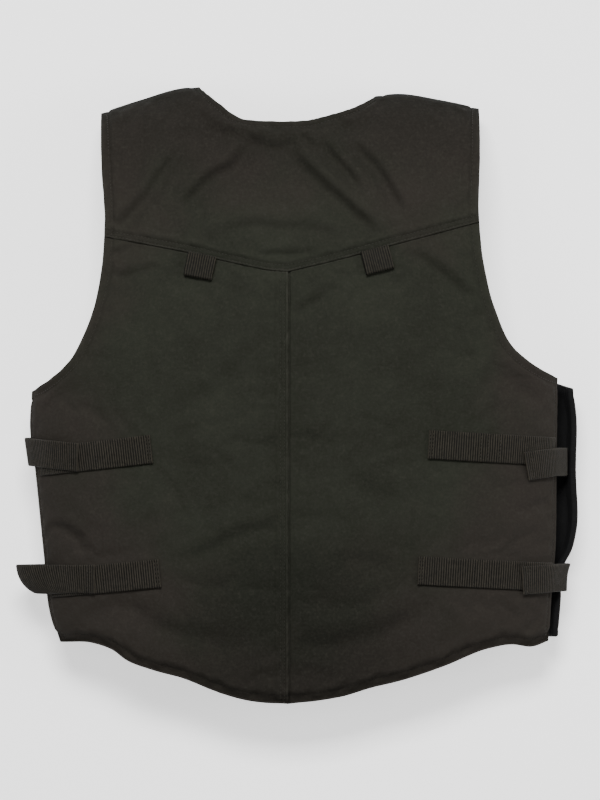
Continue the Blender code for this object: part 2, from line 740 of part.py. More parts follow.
# The yoke over the shoulder blades
columns = np.concatenate(
    [
        np.linspace(0, 0.26, 10),
        np.linspace(0.26, 0.5, 9)[1:],
        np.linspace(0.5, 0.735, 9)[1:],
        np.linspace(0.735, 1, 10)[1:],
    ]
)
rows = shares(8, end=SHOULDER_BANDS)
left_seam = np.array([(-LEFT_YOKE_END.out, LEFT_YOKE_END.up), (0.0, YOKE_POINT_UP)])
right_seam = np.array([(0.0, YOKE_POINT_UP), (RIGHT_YOKE_END.out, RIGHT_YOKE_END.up)])
left_neck = through(LEFT_NECKLINE, -1)
right_neck = through(RIGHT_NECKLINE, 1)
neck = np.concatenate([left_neck, right_neck[::-1][1:]])
bottom = chained([(left_seam, 0.5), (right_seam, 1.0)], columns)
top = chained([(left_shoulder, 0.26), (neck, 0.735), (right_shoulder[::-1], 1.0)], columns)
plan = patch(bottom, top, resampled(above_yoke[-1], rows), resampled(above_yoke[1], rows))
plan[..., 1] += 0.5 * SEAM_GAP * (1 - rows[:, None])
edges = [resampled(left_seam, np.linspace(0, 1, 80)), resampled(right_seam, np.linspace(0, 1, 80))]
edges += [left_shoulder, right_shoulder, neck, above_yoke[-1], above_yoke[1]]
padded("back_yoke", plan, back_surface, edges, None, cloth)

# The two front panels
for side, word, hem_points, side_points, armhole_points, neck_points in (
    (-1, "left", LEFT_FRONT_HEM, LEFT_FRONT_SIDE, LEFT_FRONT_ARMHOLE, LEFT_FRONT_NECK),
    (1, "right", RIGHT_FRONT_HEM, RIGHT_FRONT_SIDE, RIGHT_FRONT_ARMHOLE, RIGHT_FRONT_NECK),
):
    columns = shares(4, start=ZIP_BANDS, end=SIDE_BANDS)
    bands = shares(8, end=FRONT_SHOULDER_BANDS)
    rows = np.concatenate(
        [
            np.linspace(0, 0.45, 8),
            np.linspace(0.45, 0.62, 4)[1:],
            np.linspace(0.62, 1 - sum(FRONT_SHOULDER_BANDS), 6)[1:],
            bands[-7:],
        ]
    )
    hem = through(hem_points, 1) * (side, 1)
    opening = FRONT_CENTRE + side * ZIP_HALF_OPENING
    hem[0, 0] = opening
    neck_edge = through(neck_points, 1) * (side, 1)
    neck_edge[0, 0] = opening
    zip_edge = np.array([(opening, FRONT_HEM_UP), (opening, FRONT_NECK_UP)])
    edge = through(side_points, side)
    armhole = through(armhole_points, side)
    shoulder = left_shoulder if side < 0 else right_shoulder
    bottom = resampled(hem, columns)
    top = resampled(shoulder[::-1], columns)
    low = chained([(zip_edge, 0.62), (neck_edge, 1.0)], rows)
    high = chained([(edge, 0.45), (armhole, 1.0)], rows)
    plan = patch(bottom, top, low, high)
    edges = [hem, resampled(zip_edge, np.linspace(0, 1, 160)), neck_edge, edge, armhole, shoulder]
    padded(f"front_{word}_panel", plan, front_surface, edges, None, front_cloth)

zip_strip(zip_plastic)

for row in STRIPS:
    back_strip("back_strip_" + row.name, row.inner, row.outer, webbing)
for row in SIDE_STRAPS:
    side = -1 if row.name.startswith("left") else 1
    sewn_at = LEFT_STRAP_SEWN_AT if side < 0 else RIGHT_STRAP_SEWN_AT
    side_strap(row, side, sewn_at, row.name == "right_upper", webbing)
for row in LOOPS:
    hanging_loop(row, LEFT_YOKE_END if row.root_out < 0 else RIGHT_YOKE_END, webbing)

# The origin goes to the middle of the footprint, at the height of the floor
low_corner = np.full(3, np.inf)
high_corner = np.full(3, -np.inf)
for obj in vest.children:
    points = np.array([v.co for v in obj.data.vertices])
    low_corner = np.minimum(low_corner, points.min(axis=0))
    high_corner = np.maximum(high_corner, points.max(axis=0))
middle = 0.5 * (low_corner + high_corner)
vest.location = (-middle[0], -middle[1], -low_corner[2])
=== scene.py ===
import math

import bmesh
import bpy
import numpy as np
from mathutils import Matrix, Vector
from mathutils.bvhtree import BVHTree


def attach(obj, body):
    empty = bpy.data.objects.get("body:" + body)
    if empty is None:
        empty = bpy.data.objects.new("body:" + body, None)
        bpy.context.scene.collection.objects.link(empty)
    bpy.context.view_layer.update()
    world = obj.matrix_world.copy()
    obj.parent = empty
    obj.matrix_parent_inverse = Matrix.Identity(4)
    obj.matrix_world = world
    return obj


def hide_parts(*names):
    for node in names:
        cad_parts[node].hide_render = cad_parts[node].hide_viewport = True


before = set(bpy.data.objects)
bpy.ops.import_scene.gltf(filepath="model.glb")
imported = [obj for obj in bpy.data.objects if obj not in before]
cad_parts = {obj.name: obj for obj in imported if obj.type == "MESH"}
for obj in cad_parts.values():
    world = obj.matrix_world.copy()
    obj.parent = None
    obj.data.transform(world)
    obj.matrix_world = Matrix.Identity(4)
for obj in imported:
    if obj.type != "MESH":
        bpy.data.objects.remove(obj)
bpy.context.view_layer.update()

# Everything below is drawn from the centre back seam (x = 0) and the lowest point of the hem
# (y = 0), then moved to the frame's origin.
toFrame = np.array((-0.00866, -0.27778, 0.0))

vestSettings = {
    "padThickness": 0.0150,
    "edgeThickness": 0.0060,
    "edgeFlat": 0.006,
    "edgeTaper": 0.022,
    "edgeStep": 0.0006,
    "softEdgeRadius": 0.0029,
    "seamEdgeRadius": 0.0009,
    "seamGap": 0.0005,
    "shoulderMid": 0.030,
    "shoulderRoll": 0.046,
    "sideRoll": 0.062,
    "sideMargin": 0.0016,
    "backSideHeight": 0.042,
    "frontSideHeights": {-1: 0.042, 1: 0.050},
    "bow": 0.018,
    "bowHalfWidth": 0.240,
    "unevenness": 0.0020,  # height of the cloth's small waves for their length
    "riseStart": 0.30,  # the height where the sides begin to meet the shoulders' own level
    "riseReach": 0.13,
}

# (distance up, height) of the back along the centre seam
crownRows = [(0.0, 0.079), (0.06, 0.090), (0.20, 0.104), (0.33, 0.108), (0.43, 0.100), (0.50, 0.086),
             (0.56, 0.072)]

# Outlines as (out from the centre seam, up from the hem's lowest point)
leftSide = [(0.2070, 0.0550), (0.2142, 0.0750), (0.2214, 0.1360), (0.2286, 0.2080), (0.2335, 0.2500),
            (0.2318, 0.2805)]
rightSide = [(0.2365, 0.0560), (0.2385, 0.0930), (0.2421, 0.1380), (0.2430, 0.2100), (0.2440, 0.2925)]
leftArmhole = [(0.2318, 0.2805), (0.2106, 0.2943), (0.1953, 0.3087), (0.1800, 0.3375),
               (0.1683, 0.3807), (0.1645, 0.4250), (0.1675, 0.4850), (0.1695, 0.5319)]
rightArmhole = [(0.2440, 0.2925), (0.2151, 0.3087), (0.1998, 0.3231), (0.1863, 0.3519),
                (0.1755, 0.3951), (0.1712, 0.4400), (0.1725, 0.4900), (0.1730, 0.5364)]
leftHem = [(0.0, 0.0), (0.0250, 0.0012), (0.0468, 0.0052), (0.0684, 0.0125), (0.0900, 0.0215),
           (0.1224, 0.0306), (0.1440, 0.0387), (0.1580, 0.0485), (0.1764, 0.0545), (0.2070, 0.0550)]
rightHem = [(0.0, 0.0), (0.0288, 0.0030), (0.0504, 0.0068), (0.0720, 0.0135), (0.1044, 0.0216),
            (0.1368, 0.0324), (0.1800, 0.0495), (0.2016, 0.0531), (0.2200, 0.0508), (0.2365, 0.0560)]
leftShoulder = [(0.1695, 0.5319), (0.1332, 0.5437), (0.0960, 0.5543), (0.0800, 0.5560)]
rightShoulder = [(0.1730, 0.5364), (0.1368, 0.5438), (0.1000, 0.5493), (0.0790, 0.5478)]
leftNeck = [(0.0800, 0.5560), (0.0640, 0.5425), (0.0414, 0.5265), (0.0200, 0.5242), (0.0, 0.5238)]
rightNeck = [(0.0790, 0.5478), (0.0594, 0.5373), (0.0378, 0.5301), (0.0180, 0.5250), (0.0, 0.5238)]
yokeSeamPoints = {
    -1: [(0.0, 0.3875), (0.0153, 0.3886), (0.0370, 0.3928), (0.0580, 0.3974), (0.0900, 0.4047),
         (0.1200, 0.4106), (0.1646, 0.4191)],
    1: [(0.0, 0.3875), (0.0290, 0.3943), (0.0504, 0.3996), (0.0936, 0.4113), (0.1260, 0.4199),
        (0.1716, 0.4324)],
}

leftFrontSide = [(0.2010, 0.0760), (0.2130, 0.1400), (0.2225, 0.2100), (0.2268, 0.2740)]
rightFrontSide = [(0.2448, 0.0592), (0.2472, 0.0900), (0.2500, 0.1230), (0.2575, 0.1380),
                  (0.2610, 0.1520), (0.2612, 0.2100), (0.2612, 0.2620), (0.2585, 0.2830)]
leftFrontArmhole = [(0.2268, 0.2740), (0.1950, 0.2930), (0.1720, 0.3280), (0.1580, 0.3800),
                    (0.1545, 0.4300), (0.1590, 0.4850), (0.1695, 0.5319)]
rightFrontArmhole = [(0.2585, 0.2830), (0.2330, 0.2920), (0.1960, 0.3080), (0.1740, 0.3420),
                     (0.1620, 0.3950), (0.1600, 0.4400), (0.1640, 0.4900), (0.1730, 0.5364)]
leftFrontNeck = [(0.0020, 0.4440), (0.0380, 0.4570), (0.0610, 0.4850), (0.0745, 0.5200), (0.0800, 0.5560)]
rightFrontNeck = [(0.0080, 0.4440), (0.0430, 0.4560), (0.0640, 0.4820), (0.0755, 0.5150),
                  (0.0790, 0.5478)]
leftFrontHem = [(0.0020, 0.0520), (0.1050, 0.0560), (0.2010, 0.0760)]
rightFrontHem = [(0.0080, 0.0520), (0.1300, 0.0545), (0.2448, 0.0592)]

# Folds that the lying cloth makes: half width, depth, ridge and path. The cloth steps down across
# each path, from a ridge on the path's left, or on its right where the ridge is negative.
backFolds = [
    (0.0062, 0.0046, 0.9, [(0.000, 0.499), (0.020, 0.4775), (0.040, 0.4595), (0.060, 0.4415),
        (0.084, 0.4235)]),
    (0.0040, 0.0030, 0.9, [(0.031, 0.509), (0.038, 0.4955), (0.048, 0.484), (0.060, 0.4705),
        (0.067, 0.4605)]),
    (0.0052, 0.0036, 0.8, [(0.058, 0.507), (0.0685, 0.494), (0.080, 0.482), (0.092, 0.4635),
        (0.098, 0.453), (0.106, 0.440)]),
    (0.0070, 0.0047, -0.8, [(-0.0360, 0.5075), (-0.048, 0.4865), (-0.066, 0.475), (-0.079, 0.464),
        (-0.097, 0.446)]),
    (0.0066, 0.0042, -0.8, [(-0.094, 0.497), (-0.113, 0.4775), (-0.124, 0.4615), (-0.138, 0.446),
        (-0.158, 0.426)]),
    (0.0050, 0.0014, -0.7, [(-0.072, 0.497), (-0.090, 0.482), (-0.108, 0.462)]),
    (0.0060, 0.0012, -0.6, [(-0.134, 0.490), (-0.146, 0.470), (-0.153, 0.452)]),
    (0.0060, 0.0030, 0.5, [(-0.0845, 0.536), (-0.075, 0.527), (-0.057, 0.5155), (-0.030, 0.511)]),
    (0.0060, 0.0013, 0.6, [(-0.102, 0.5185), (-0.070, 0.5140), (-0.032, 0.5075)]),
    (0.0072, 0.0042, 0.5, [(-0.032, 0.5095), (-0.010, 0.502), (0.006, 0.5065)]),
    (0.0034, 0.0020, 0.6, [(0.015, 0.511), (0.024, 0.500)]),
    (0.0040, 0.0024, 0.5, [(0.0485, 0.520), (0.065, 0.523), (0.074, 0.532)]),
    (0.0064, 0.0027, 0.7, [(-0.077, 0.4165), (-0.057, 0.4255), (-0.034, 0.4315), (-0.0095, 0.4300),
        (0.0175, 0.4285), (0.038, 0.4240), (0.053, 0.4120)]),
    (0.0046, 0.0020, 0.6, [(-0.034, 0.4040), (0.000, 0.4045), (0.028, 0.4065), (0.048, 0.4105)]),
    (0.0038, 0.0015, 0.6, [(-0.156, 0.406), (-0.133, 0.413)]),
    (0.0048, 0.0017, 0.7, [(-0.154, 0.385), (-0.135, 0.389), (-0.116, 0.3945)]),
    (0.0090, 0.0020, -0.7, [(-0.025, 0.340), (-0.037, 0.318), (-0.061, 0.2935), (-0.0865, 0.276),
        (-0.1125, 0.261)]),
    (0.0034, 0.0013, -0.5, [(-0.208, 0.279), (-0.216, 0.266)]),
    (0.0052, 0.0028, 0.5, [(-0.2115, 0.165), (-0.196, 0.1585), (-0.1845, 0.1495), (-0.178, 0.136)]),
    (0.0070, 0.0020, 0.6, [(-0.099, 0.132), (-0.0675, 0.145), (-0.043, 0.158), (-0.010, 0.165)]),
    (0.0110, 0.0028, 0.4, [(-0.182, 0.094), (-0.1395, 0.0925), (-0.100, 0.0735), (-0.061, 0.065),
        (-0.025, 0.065)]),
    (0.0060, 0.0019, 0.7, [(0.0045, 0.354), (0.0225, 0.363), (0.0405, 0.378)]),
    (0.0062, 0.0030, 0.7, [(0.111, 0.4105), (0.128, 0.3965), (0.143, 0.3840), (0.158, 0.3720),
        (0.170, 0.3600)]),
    (0.0065, 0.0018, 0.2, [(0.170, 0.315), (0.173, 0.300), (0.1845, 0.288)]),
    (0.0075, 0.0020, 0.4, [(0.1845, 0.309), (0.209, 0.288), (0.2295, 0.2755)]),
    (0.0090, 0.0027, 0.5, [(0.0045, 0.0595), (0.038, 0.061), (0.074, 0.0685), (0.1035, 0.082),
        (0.134, 0.0955)]),
    (0.0085, 0.0010, 0.6, [(0.060, 0.205), (0.092, 0.190), (0.128, 0.196)]),
]


# Curves
def hermite(values, positions, where):
    positions = np.asarray(positions, float)
    values = np.asarray(values, float)
    slopes = np.gradient(values, positions, axis=0)
    where = np.clip(where, positions[0], positions[-1])
    index = np.clip(np.searchsorted(positions, where, side="right") - 1, 0, len(positions) - 2)
    step = positions[index + 1] - positions[index]
    t = (where - positions[index]) / step
    if values.ndim > 1:
        t = t[..., None]
        step = step[..., None]
    return ((2 * t**3 - 3 * t**2 + 1) * values[index] + (t**3 - 2 * t**2 + t) * step * slopes[index]
            + (3 * t**2 - 2 * t**3) * values[index + 1] + (t**3 - t**2) * step * slopes[index + 1])


def smoothStep(t):
    t = np.clip(t, 0.0, 1.0)
    return t * t * (3 - 2 * t)


def lengthsAlong(line):
    return np.concatenate([[0.0], np.cumsum(np.linalg.norm(np.diff(line, axis=0), axis=1))])


def resampled(line, shares):
    lengths = lengthsAlong(line)
    wanted = np.asarray(shares) * lengths[-1]
    return np.stack([np.interp(wanted, lengths, line[:, k]) for k in range(line.shape[1])], axis=1)


def through(points, side):
    line = np.array([(side * out, up) for out, up in points])
    lengths = lengthsAlong(line)
    return hermite(line, lengths, np.linspace(0, lengths[-1], 40 * len(points)))


def cutAt(line, point):
    index = int(np.argmin(np.linalg.norm(line - np.asarray(point), axis=1)))
    line = line.copy()
    line[index] = point
    return line[:index + 1], line[index:]


def chained(pieces, where):
    rows = np.empty((len(where), 2))
    begin = 0.0
    for line, finish in pieces:
        inside = (where >= begin - 1e-9) & (where <= finish + 1e-9)
        rows[inside] = resampled(line, (where[inside] - begin) / (finish - begin))
        begin = finish
    return rows


# How the vest lies: the height of its outer faces over the floor
def sideTable(points, above):
    edge = through(points, 1)
    return (list(edge[:, 1]) + [row[0] for row in above],
            list(edge[:, 0] + vestSettings["sideMargin"]) + [row[1] for row in above])


backSides = {-1: sideTable(leftSide, [(0.318, 0.2450), (0.360, 0.2520), (0.560, 0.2520)]),
             1: sideTable(rightSide, [(0.330, 0.2560), (0.370, 0.2620), (0.560, 0.2620)])}
frontSides = {-1: sideTable(leftFrontSide, [(0.315, 0.2380), (0.360, 0.2460), (0.560, 0.2480)]),
              1: sideTable(rightFrontSide, [(0.330, 0.2620), (0.370, 0.2640), (0.560, 0.2640)])}
shoulderLines = {-1: through(leftShoulder, -1), 1: through(rightShoulder, 1)}
foldLine = np.concatenate([[(-0.26, 0.505)], shoulderLines[-1], [(-0.040, 0.5560), (0.040, 0.5500)],
                           shoulderLines[1][::-1], [(0.26, 0.514)]])


def shoulderFold(x):
    return np.interp(x, foldLine[:, 0], foldLine[:, 1])


def foldSlope(x):
    return (shoulderFold(x + 0.004) - shoulderFold(x - 0.004)) / 0.008


def rolls(x, y, sides):
    toShoulder = np.clip((y - shoulderFold(x)) / vestSettings["shoulderRoll"] + 1, 0, 1)
    outward = np.where(x < 0, np.interp(y, *sides[-1]), np.interp(y, *sides[1]))
    toSide = np.clip((np.abs(x) - outward) / vestSettings["sideRoll"] + 1, 0, 1)
    return toShoulder, np.sqrt(1 - toShoulder**2), toSide, np.sqrt(1 - toSide**2)


def uprightHeight(sideHeight, y):
    share = smoothStep((y - vestSettings["riseStart"]) / vestSettings["riseReach"])
    return sideHeight + (vestSettings["shoulderMid"] - sideHeight) * share


waveMaker = np.random.default_rng(11)
softWaves = [(waveMaker.uniform(0.014, 0.070), waveMaker.uniform(0, math.pi), waveMaker.uniform(0, 6.28))
             for _ in range(26)]  # length, heading and phase


def uneven(x, y):
    # small rises and dips with no direction of their own
    bent = x + 0.006 * np.sin(y * 61 + 1) + 0.003 * np.sin(y * 149)
    total = np.zeros(np.broadcast(x, y).shape)
    for length, heading, phase in softWaves:
        reach = bent * math.cos(heading) + y * math.sin(heading)
        total = total + length * np.sin(6.283 / length * reach + phase)
    return vestSettings["unevenness"] * total


def foldDepth(x, y, folds):
    depth = np.zeros(x.shape)
    for width, drop, crest, corners in folds:
        corners = np.array(corners)
        lengths = lengthsAlong(corners)
        path = hermite(corners, lengths, np.linspace(0, lengths[-1], 24))
        near = ((x > path[:, 0].min() - 5 * width) & (x < path[:, 0].max() + 5 * width)
                & (y > path[:, 1].min() - 5 * width) & (y < path[:, 1].max() + 5 * width))
        if not near.any():
            continue
        point = np.stack([x[near], y[near]], axis=1)
        best = np.full(len(point), 1e9)
        along = np.zeros(len(point))
        across = np.zeros(len(point))
        spans = lengthsAlong(path)
        for k in range(len(path) - 1):
            span = path[k + 1] - path[k]
            size = np.hypot(*span)
            offset = point - path[k]
            t = offset @ span / size
            low = -1.0 if k == 0 else 0.0
            high = size + 1.0 if k == len(path) - 2 else size
            held = np.clip(t, low, high)
            away = np.hypot(*(offset - held[:, None] * span / size).T)
            closer = away < best
            best = np.where(closer, away, best)
            along = np.where(closer, spans[k] + held, along)
            turned = span[0] * offset[:, 1] - span[1] * offset[:, 0]
            across = np.where(closer, away * np.sign(turned), across)
        taper = min(0.30 * spans[-1], 5 * width)
        ends = smoothStep((along + width) / taper) * smoothStep((spans[-1] + width - along) / taper)
        step = across * math.copysign(1, crest) / width
        valley = 0.9 * np.exp(-((0.95 * step + 0.75) ** 2)) + 0.25 * np.exp(-((0.42 * step + 0.6) ** 2))
        ridge = np.exp(-((0.85 * step - 0.85) ** 2)) + 0.20 * np.exp(-((0.40 * step - 0.8) ** 2))
        depth[near] += drop * ends * (valley - abs(crest) * ridge)
    return depth


def crown(x, y):
    bow = vestSettings["bow"] * (x / vestSettings["bowHalfWidth"]) ** 2
    return hermite([row[1] for row in crownRows], [row[0] for row in crownRows], y) - bow


def backSurface(x, y):
    x, y = np.broadcast_arrays(np.asarray(x, float), np.asarray(y, float))
    upSin, upCos, outSin, outCos = rolls(x, y, backSides)
    base = uprightHeight(vestSettings["backSideHeight"], y) + vestSettings["seamGap"]
    level = upCos * outCos

    def height(px, py):
        return crown(px, py) - foldDepth(px, py, backFolds) + uneven(px, py)

    rise = height(x, y) - base
    step = 0.0006
    slopeX = (height(x + step, y) - height(x - step, y)) / (2 * step)
    slopeY = (height(x, y + step) - height(x, y - step)) / (2 * step)
    sideways = np.sign(x) * rise * upCos**2 * outSin / vestSettings["sideRoll"]
    upwards = rise * outCos**2 * upSin / vestSettings["shoulderRoll"]
    normal = np.stack([sideways - upwards * foldSlope(x) - slopeX * level**2,
                       upwards - slopeY * level**2, level + 1e-9], axis=-1)
    normal /= np.linalg.norm(normal, axis=-1, keepdims=True)
    return np.stack([x, y, base + rise * level], axis=-1), normal


def frontSurface(x, y):
    x, y = np.broadcast_arrays(np.asarray(x, float), np.asarray(y, float))
    upSin, upCos, outSin, outCos = rolls(x, y, frontSides)
    heights = vestSettings["frontSideHeights"]
    rise = uprightHeight(np.where(x < 0, heights[-1], heights[1]), y)
    level = upCos * outCos
    sideways = np.sign(x) * rise * upCos**2 * outSin / vestSettings["sideRoll"]
    upwards = rise * outCos**2 * upSin / vestSettings["shoulderRoll"]
    normal = np.stack([sideways - upwards * foldSlope(x), upwards, -level - 1e-9], axis=-1)
    normal /= np.linalg.norm(normal, axis=-1, keepdims=True)
    return np.stack([x, y, rise * (1 - level)], axis=-1), normal


# Grids
def sharesAlong(plan, surface, fine, coarse, edgeBand):
    # shares of a plan line, close together beside its two ends as measured over the cloth
    line = resampled(plan, np.linspace(0, 1, 1500))
    reach = lengthsAlong(surface(line[:, 0], line[:, 1])[0])
    total = reach[-1]
    marks = [0.0]
    while marks[-1] < total:
        toEnd = min(marks[-1], total - marks[-1])
        inside = float(smoothStep((toEnd - edgeBand) / (2 * edgeBand)))
        marks.append(marks[-1] + fine + (coarse - fine) * inside)
    marks = np.array(marks) * total / marks[-1]
    return np.interp(marks, reach, np.linspace(0, 1, 1500))


def snapped(shares, corners):
    shares = shares.copy()
    for corner in corners:
        shares[np.argmin(np.abs(shares - corner))] = corner
    return shares


def sharesOf(line):
    lengths = lengthsAlong(line)
    return lengths / lengths[-1]


def coons(bottom, top, low, high):
    # a grid of points that fills the space between four lines
    u = 0.5 * (sharesOf(bottom) + sharesOf(top))[None, :, None]
    v = 0.5 * (sharesOf(low) + sharesOf(high))[:, None, None]
    ruled = (1 - v) * bottom[None] + v * top[None] + (1 - u) * low[:, None] + u * high[:, None]
    corners = ((1 - u) * (1 - v) * bottom[0] + u * (1 - v) * bottom[-1] + (1 - u) * v * top[0]
               + u * v * top[-1])
    return ruled - corners


def distanceTo(points, lines):
    flat = points.reshape(-1, 3)
    line = np.concatenate(lines)

    def nearest(part, corners):
        away = np.empty(len(part))
        for start in range(0, len(part), 3000):
            apart = part[start:start + 3000, None] - corners[None]
            away[start:start + 3000] = np.sqrt((apart**2).sum(axis=2).min(axis=1))
        return away

    # only the cloth near the lines needs more than a rough distance
    away = nearest(flat, line[::10])
    near = away < 0.045
    away[near] = nearest(flat[near], line)
    return away.reshape(points.shape[:-1])


def borderOf(shape):
    border = np.ones(shape, bool)
    border[1:-1, 1:-1] = False
    return border


def addObject(name, data):
    made = bpy.data.objects.new(name, data)
    bpy.context.scene.collection.objects.link(made)
    return made


def makeMesh(name, points, faces, materials, slots=None, uv=None):
    mesh = bpy.data.meshes.new(name)
    points = np.asarray(points) + toFrame
    mesh.from_pydata(points.tolist(), [], [tuple(int(i) for i in face) for face in faces])
    for material in materials:
        mesh.materials.append(material)
    if slots is not None:
        mesh.polygons.foreach_set("material_index", np.asarray(slots, np.int32))
    if uv is not None:
        layer = mesh.uv_layers.new(name="threads")
        loops = np.empty(len(mesh.loops), np.int32)
        mesh.loops.foreach_get("vertex_index", loops)
        layer.data.foreach_set("uv", np.asarray(uv, np.float32)[loops].ravel())
    mesh.update()
    bm = bmesh.new()
    bm.from_mesh(mesh)
    if bm.calc_volume(signed=True) < 0:
        bmesh.ops.reverse_faces(bm, faces=bm.faces[:])
    bm.to_mesh(mesh)
    bm.free()
    mesh.shade_smooth()
    return addObject(name, mesh)


def threadUv(points, start):
    # lengths over the cloth, so the weave keeps its size where the cloth turns down
    across = np.linalg.norm(np.diff(points, axis=1), axis=2)
    along = np.linalg.norm(np.diff(points, axis=0), axis=2)
    u = np.cumsum(np.pad(across, ((0, 0), (1, 0))), axis=1)
    v = np.cumsum(np.pad(along, ((1, 0), (0, 0))), axis=0)
    return np.stack([start[:, :1, 0] + u, start[:1, :, 1] + v], axis=-1)


def shellOf(outer, inner):
    # the two grids share their border, so the edge of the cloth is one rounded fold
    rows, columns = outer.shape[:2]
    top = np.arange(rows * columns).reshape(rows, columns)
    under = top.copy()
    inside = under[1:-1, 1:-1]
    under[1:-1, 1:-1] = rows * columns + np.arange(inside.size).reshape(inside.shape)
    points = np.concatenate([outer.reshape(-1, 3), inner[1:-1, 1:-1].reshape(-1, 3)])
    above = np.stack([top[:-1, :-1], top[1:, :-1], top[1:, 1:], top[:-1, 1:]], axis=-1)
    below = np.stack([under[:-1, :-1], under[:-1, 1:], under[1:, 1:], under[1:, :-1]], axis=-1)
    return points, above.reshape(-1, 4), below.reshape(-1, 4)


def closedShell(name, outer, inner, materials, uv, rubAndHighlight=None, shadeShare=None):
    points, above, below = shellOf(outer, inner)
    slots = [0] * len(above) + [len(materials) - 1] * len(below)
    threads = np.concatenate([uv.reshape(-1, 2), uv[1:-1, 1:-1].reshape(-1, 2)])
    piece = makeMesh(name, points, np.concatenate([above, below]), materials, slots, threads)
    for label, share in (("rubAndHighlightShare", rubAndHighlight), ("paintedShadeShare", shadeShare)):
        values = np.zeros(len(points), np.float32)
        if share is not None:
            values[:share.size] = share.ravel()
        piece.data.attributes.new(label, "FLOAT", "POINT").data.foreach_set("value", values)
    return piece


def rollOff(away, radius, width=None):
    inward = np.clip(1 - away / (width or radius), 0, 1)
    return radius * (1 - np.sqrt(1 - inward**2))


settling = {"grid": 0.0050, "frames": 20, "pressure": 4.0, "slack": -0.014, "stretch": 20, "shear": 8,
            "bending": 0.35, "mass": 0.3, "cap": 0.0022, "smoothing": 50, "share": 0.6,
            "heldEdge": 0.0080, "heldWebbing": 0.018}


def settledCover(name, points, normal, wall, held):
    def picked(line):
        lengths = lengthsAlong(line)
        marks = np.linspace(0, lengths[-1], max(4, int(lengths[-1] / settling["grid"])))
        return np.unique(np.append(np.searchsorted(lengths, marks[:-1]), len(line) - 1)), lengths

    rows, rowLengths = picked(points[:, points.shape[1] // 2])
    columns, columnLengths = picked(points[points.shape[0] // 2])
    grid = np.ix_(rows, columns)
    outer = points[grid]
    corners, above, below = shellOf(outer, outer - (normal * wall[..., None])[grid])
    pad = makeMesh(name + "Settling", corners, np.concatenate([above, below]), [])
    pinned = np.ones(len(corners), bool)
    pinned[:held[grid].size] = held[grid].ravel()
    border = borderOf(outer.shape[:2])
    pinned[:border.size] |= border.ravel()
    sewn = pad.vertex_groups.new(name="sewn")
    sewn.add([int(k) for k in np.flatnonzero(pinned)], 1.0, "REPLACE")
    cloth = pad.modifiers.new("settling", "CLOTH")
    cloth.point_cache.frame_start = 1
    cloth.point_cache.frame_end = settling["frames"]
    cloth.collision_settings.use_collision = False
    cloth.settings.quality = 5
    cloth.settings.mass = settling["mass"]
    cloth.settings.tension_stiffness = settling["stretch"]
    cloth.settings.compression_stiffness = settling["stretch"]
    cloth.settings.shear_stiffness = settling["shear"]
    cloth.settings.bending_stiffness = settling["bending"]
    cloth.settings.use_pressure = True
    cloth.settings.uniform_pressure_force = settling["pressure"]
    cloth.settings.shrink_min = settling["slack"]
    cloth.settings.vertex_group_mass = "sewn"
    cloth.settings.effector_weights.gravity = 0
    for frameNumber in range(1, settling["frames"] + 1):
        bpy.context.scene.frame_set(frameNumber)
    solved = pad.evaluated_get(bpy.context.evaluated_depsgraph_get()).to_mesh()
    places = np.empty(len(solved.vertices) * 3)
    solved.vertices.foreach_get("co", places)
    places = places.reshape(-1, 3)[:border.size].reshape(outer.shape) - toFrame
    mesh = pad.data
    bpy.data.objects.remove(pad)
    bpy.data.meshes.remove(mesh)
    bpy.context.scene.frame_set(1)
    cap = settling["cap"]
    lift = np.clip(((places - outer) * normal[grid]).sum(axis=2), -cap, 3 * cap)
    # the pad's own roundness is in the surface already, so only the puckers stay
    wide = lift.copy()
    for _ in range(settling["smoothing"]):
        wide[1:-1, 1:-1] = 0.25 * (wide[:-2, 1:-1] + wide[2:, 1:-1] + wide[1:-1, :-2] + wide[1:-1, 2:])
    lift = np.clip(lift - wide, -cap, cap) * settling["share"]
    print(f"settled {name}: puckers of {1000 * lift.std():.2f} mm, "
          f"at most {1000 * np.abs(lift).max():.2f} mm")
    lift = hermite(lift, rowLengths[rows], rowLengths)
    return hermite(lift.T, columnLengths[columns], columnLengths).T


def wallThickness(away):
    # thin at the sewn edge, as thick as the foam further in
    edge = vestSettings["edgeThickness"]
    inside = smoothStep((away - vestSettings["edgeFlat"]) / vestSettings["edgeTaper"])
    return edge + (vestSettings["padThickness"] - edge) * inside


hemEdge = {"drop": 0.0032, "flat": 0.002, "fade": 0.011, "thinning": 0.4, "radius": 0.0026,
           "rollWidth": 0.0080, "ripples": [(0.0012, 170, 0), (0.0009, 395, 1)]}
seamDip = {"width": 0.0011, "wideWidth": 0.0050, "wideShare": 0.35, "pull": 0.35, "pullPitch": 0.0115}
# the yoke's shoulder edges pressed down, and how far the painted shade reaches beside them and fades at
# its bands
yokeEdge = {"pressed": 0.0011, "pressedWidth": 0.0045, "shoulderShadeWidth": 0.0215, "bandFade": 0.0020}
# rubbed wear along bare edges, and painted highlight on the folded edges of the seams
rubAndHighlightBands = {"edgeWidth": 0.0024, "seamShare": 1.2, "seamAt": 0.0007, "seamWidth": 0.0006}


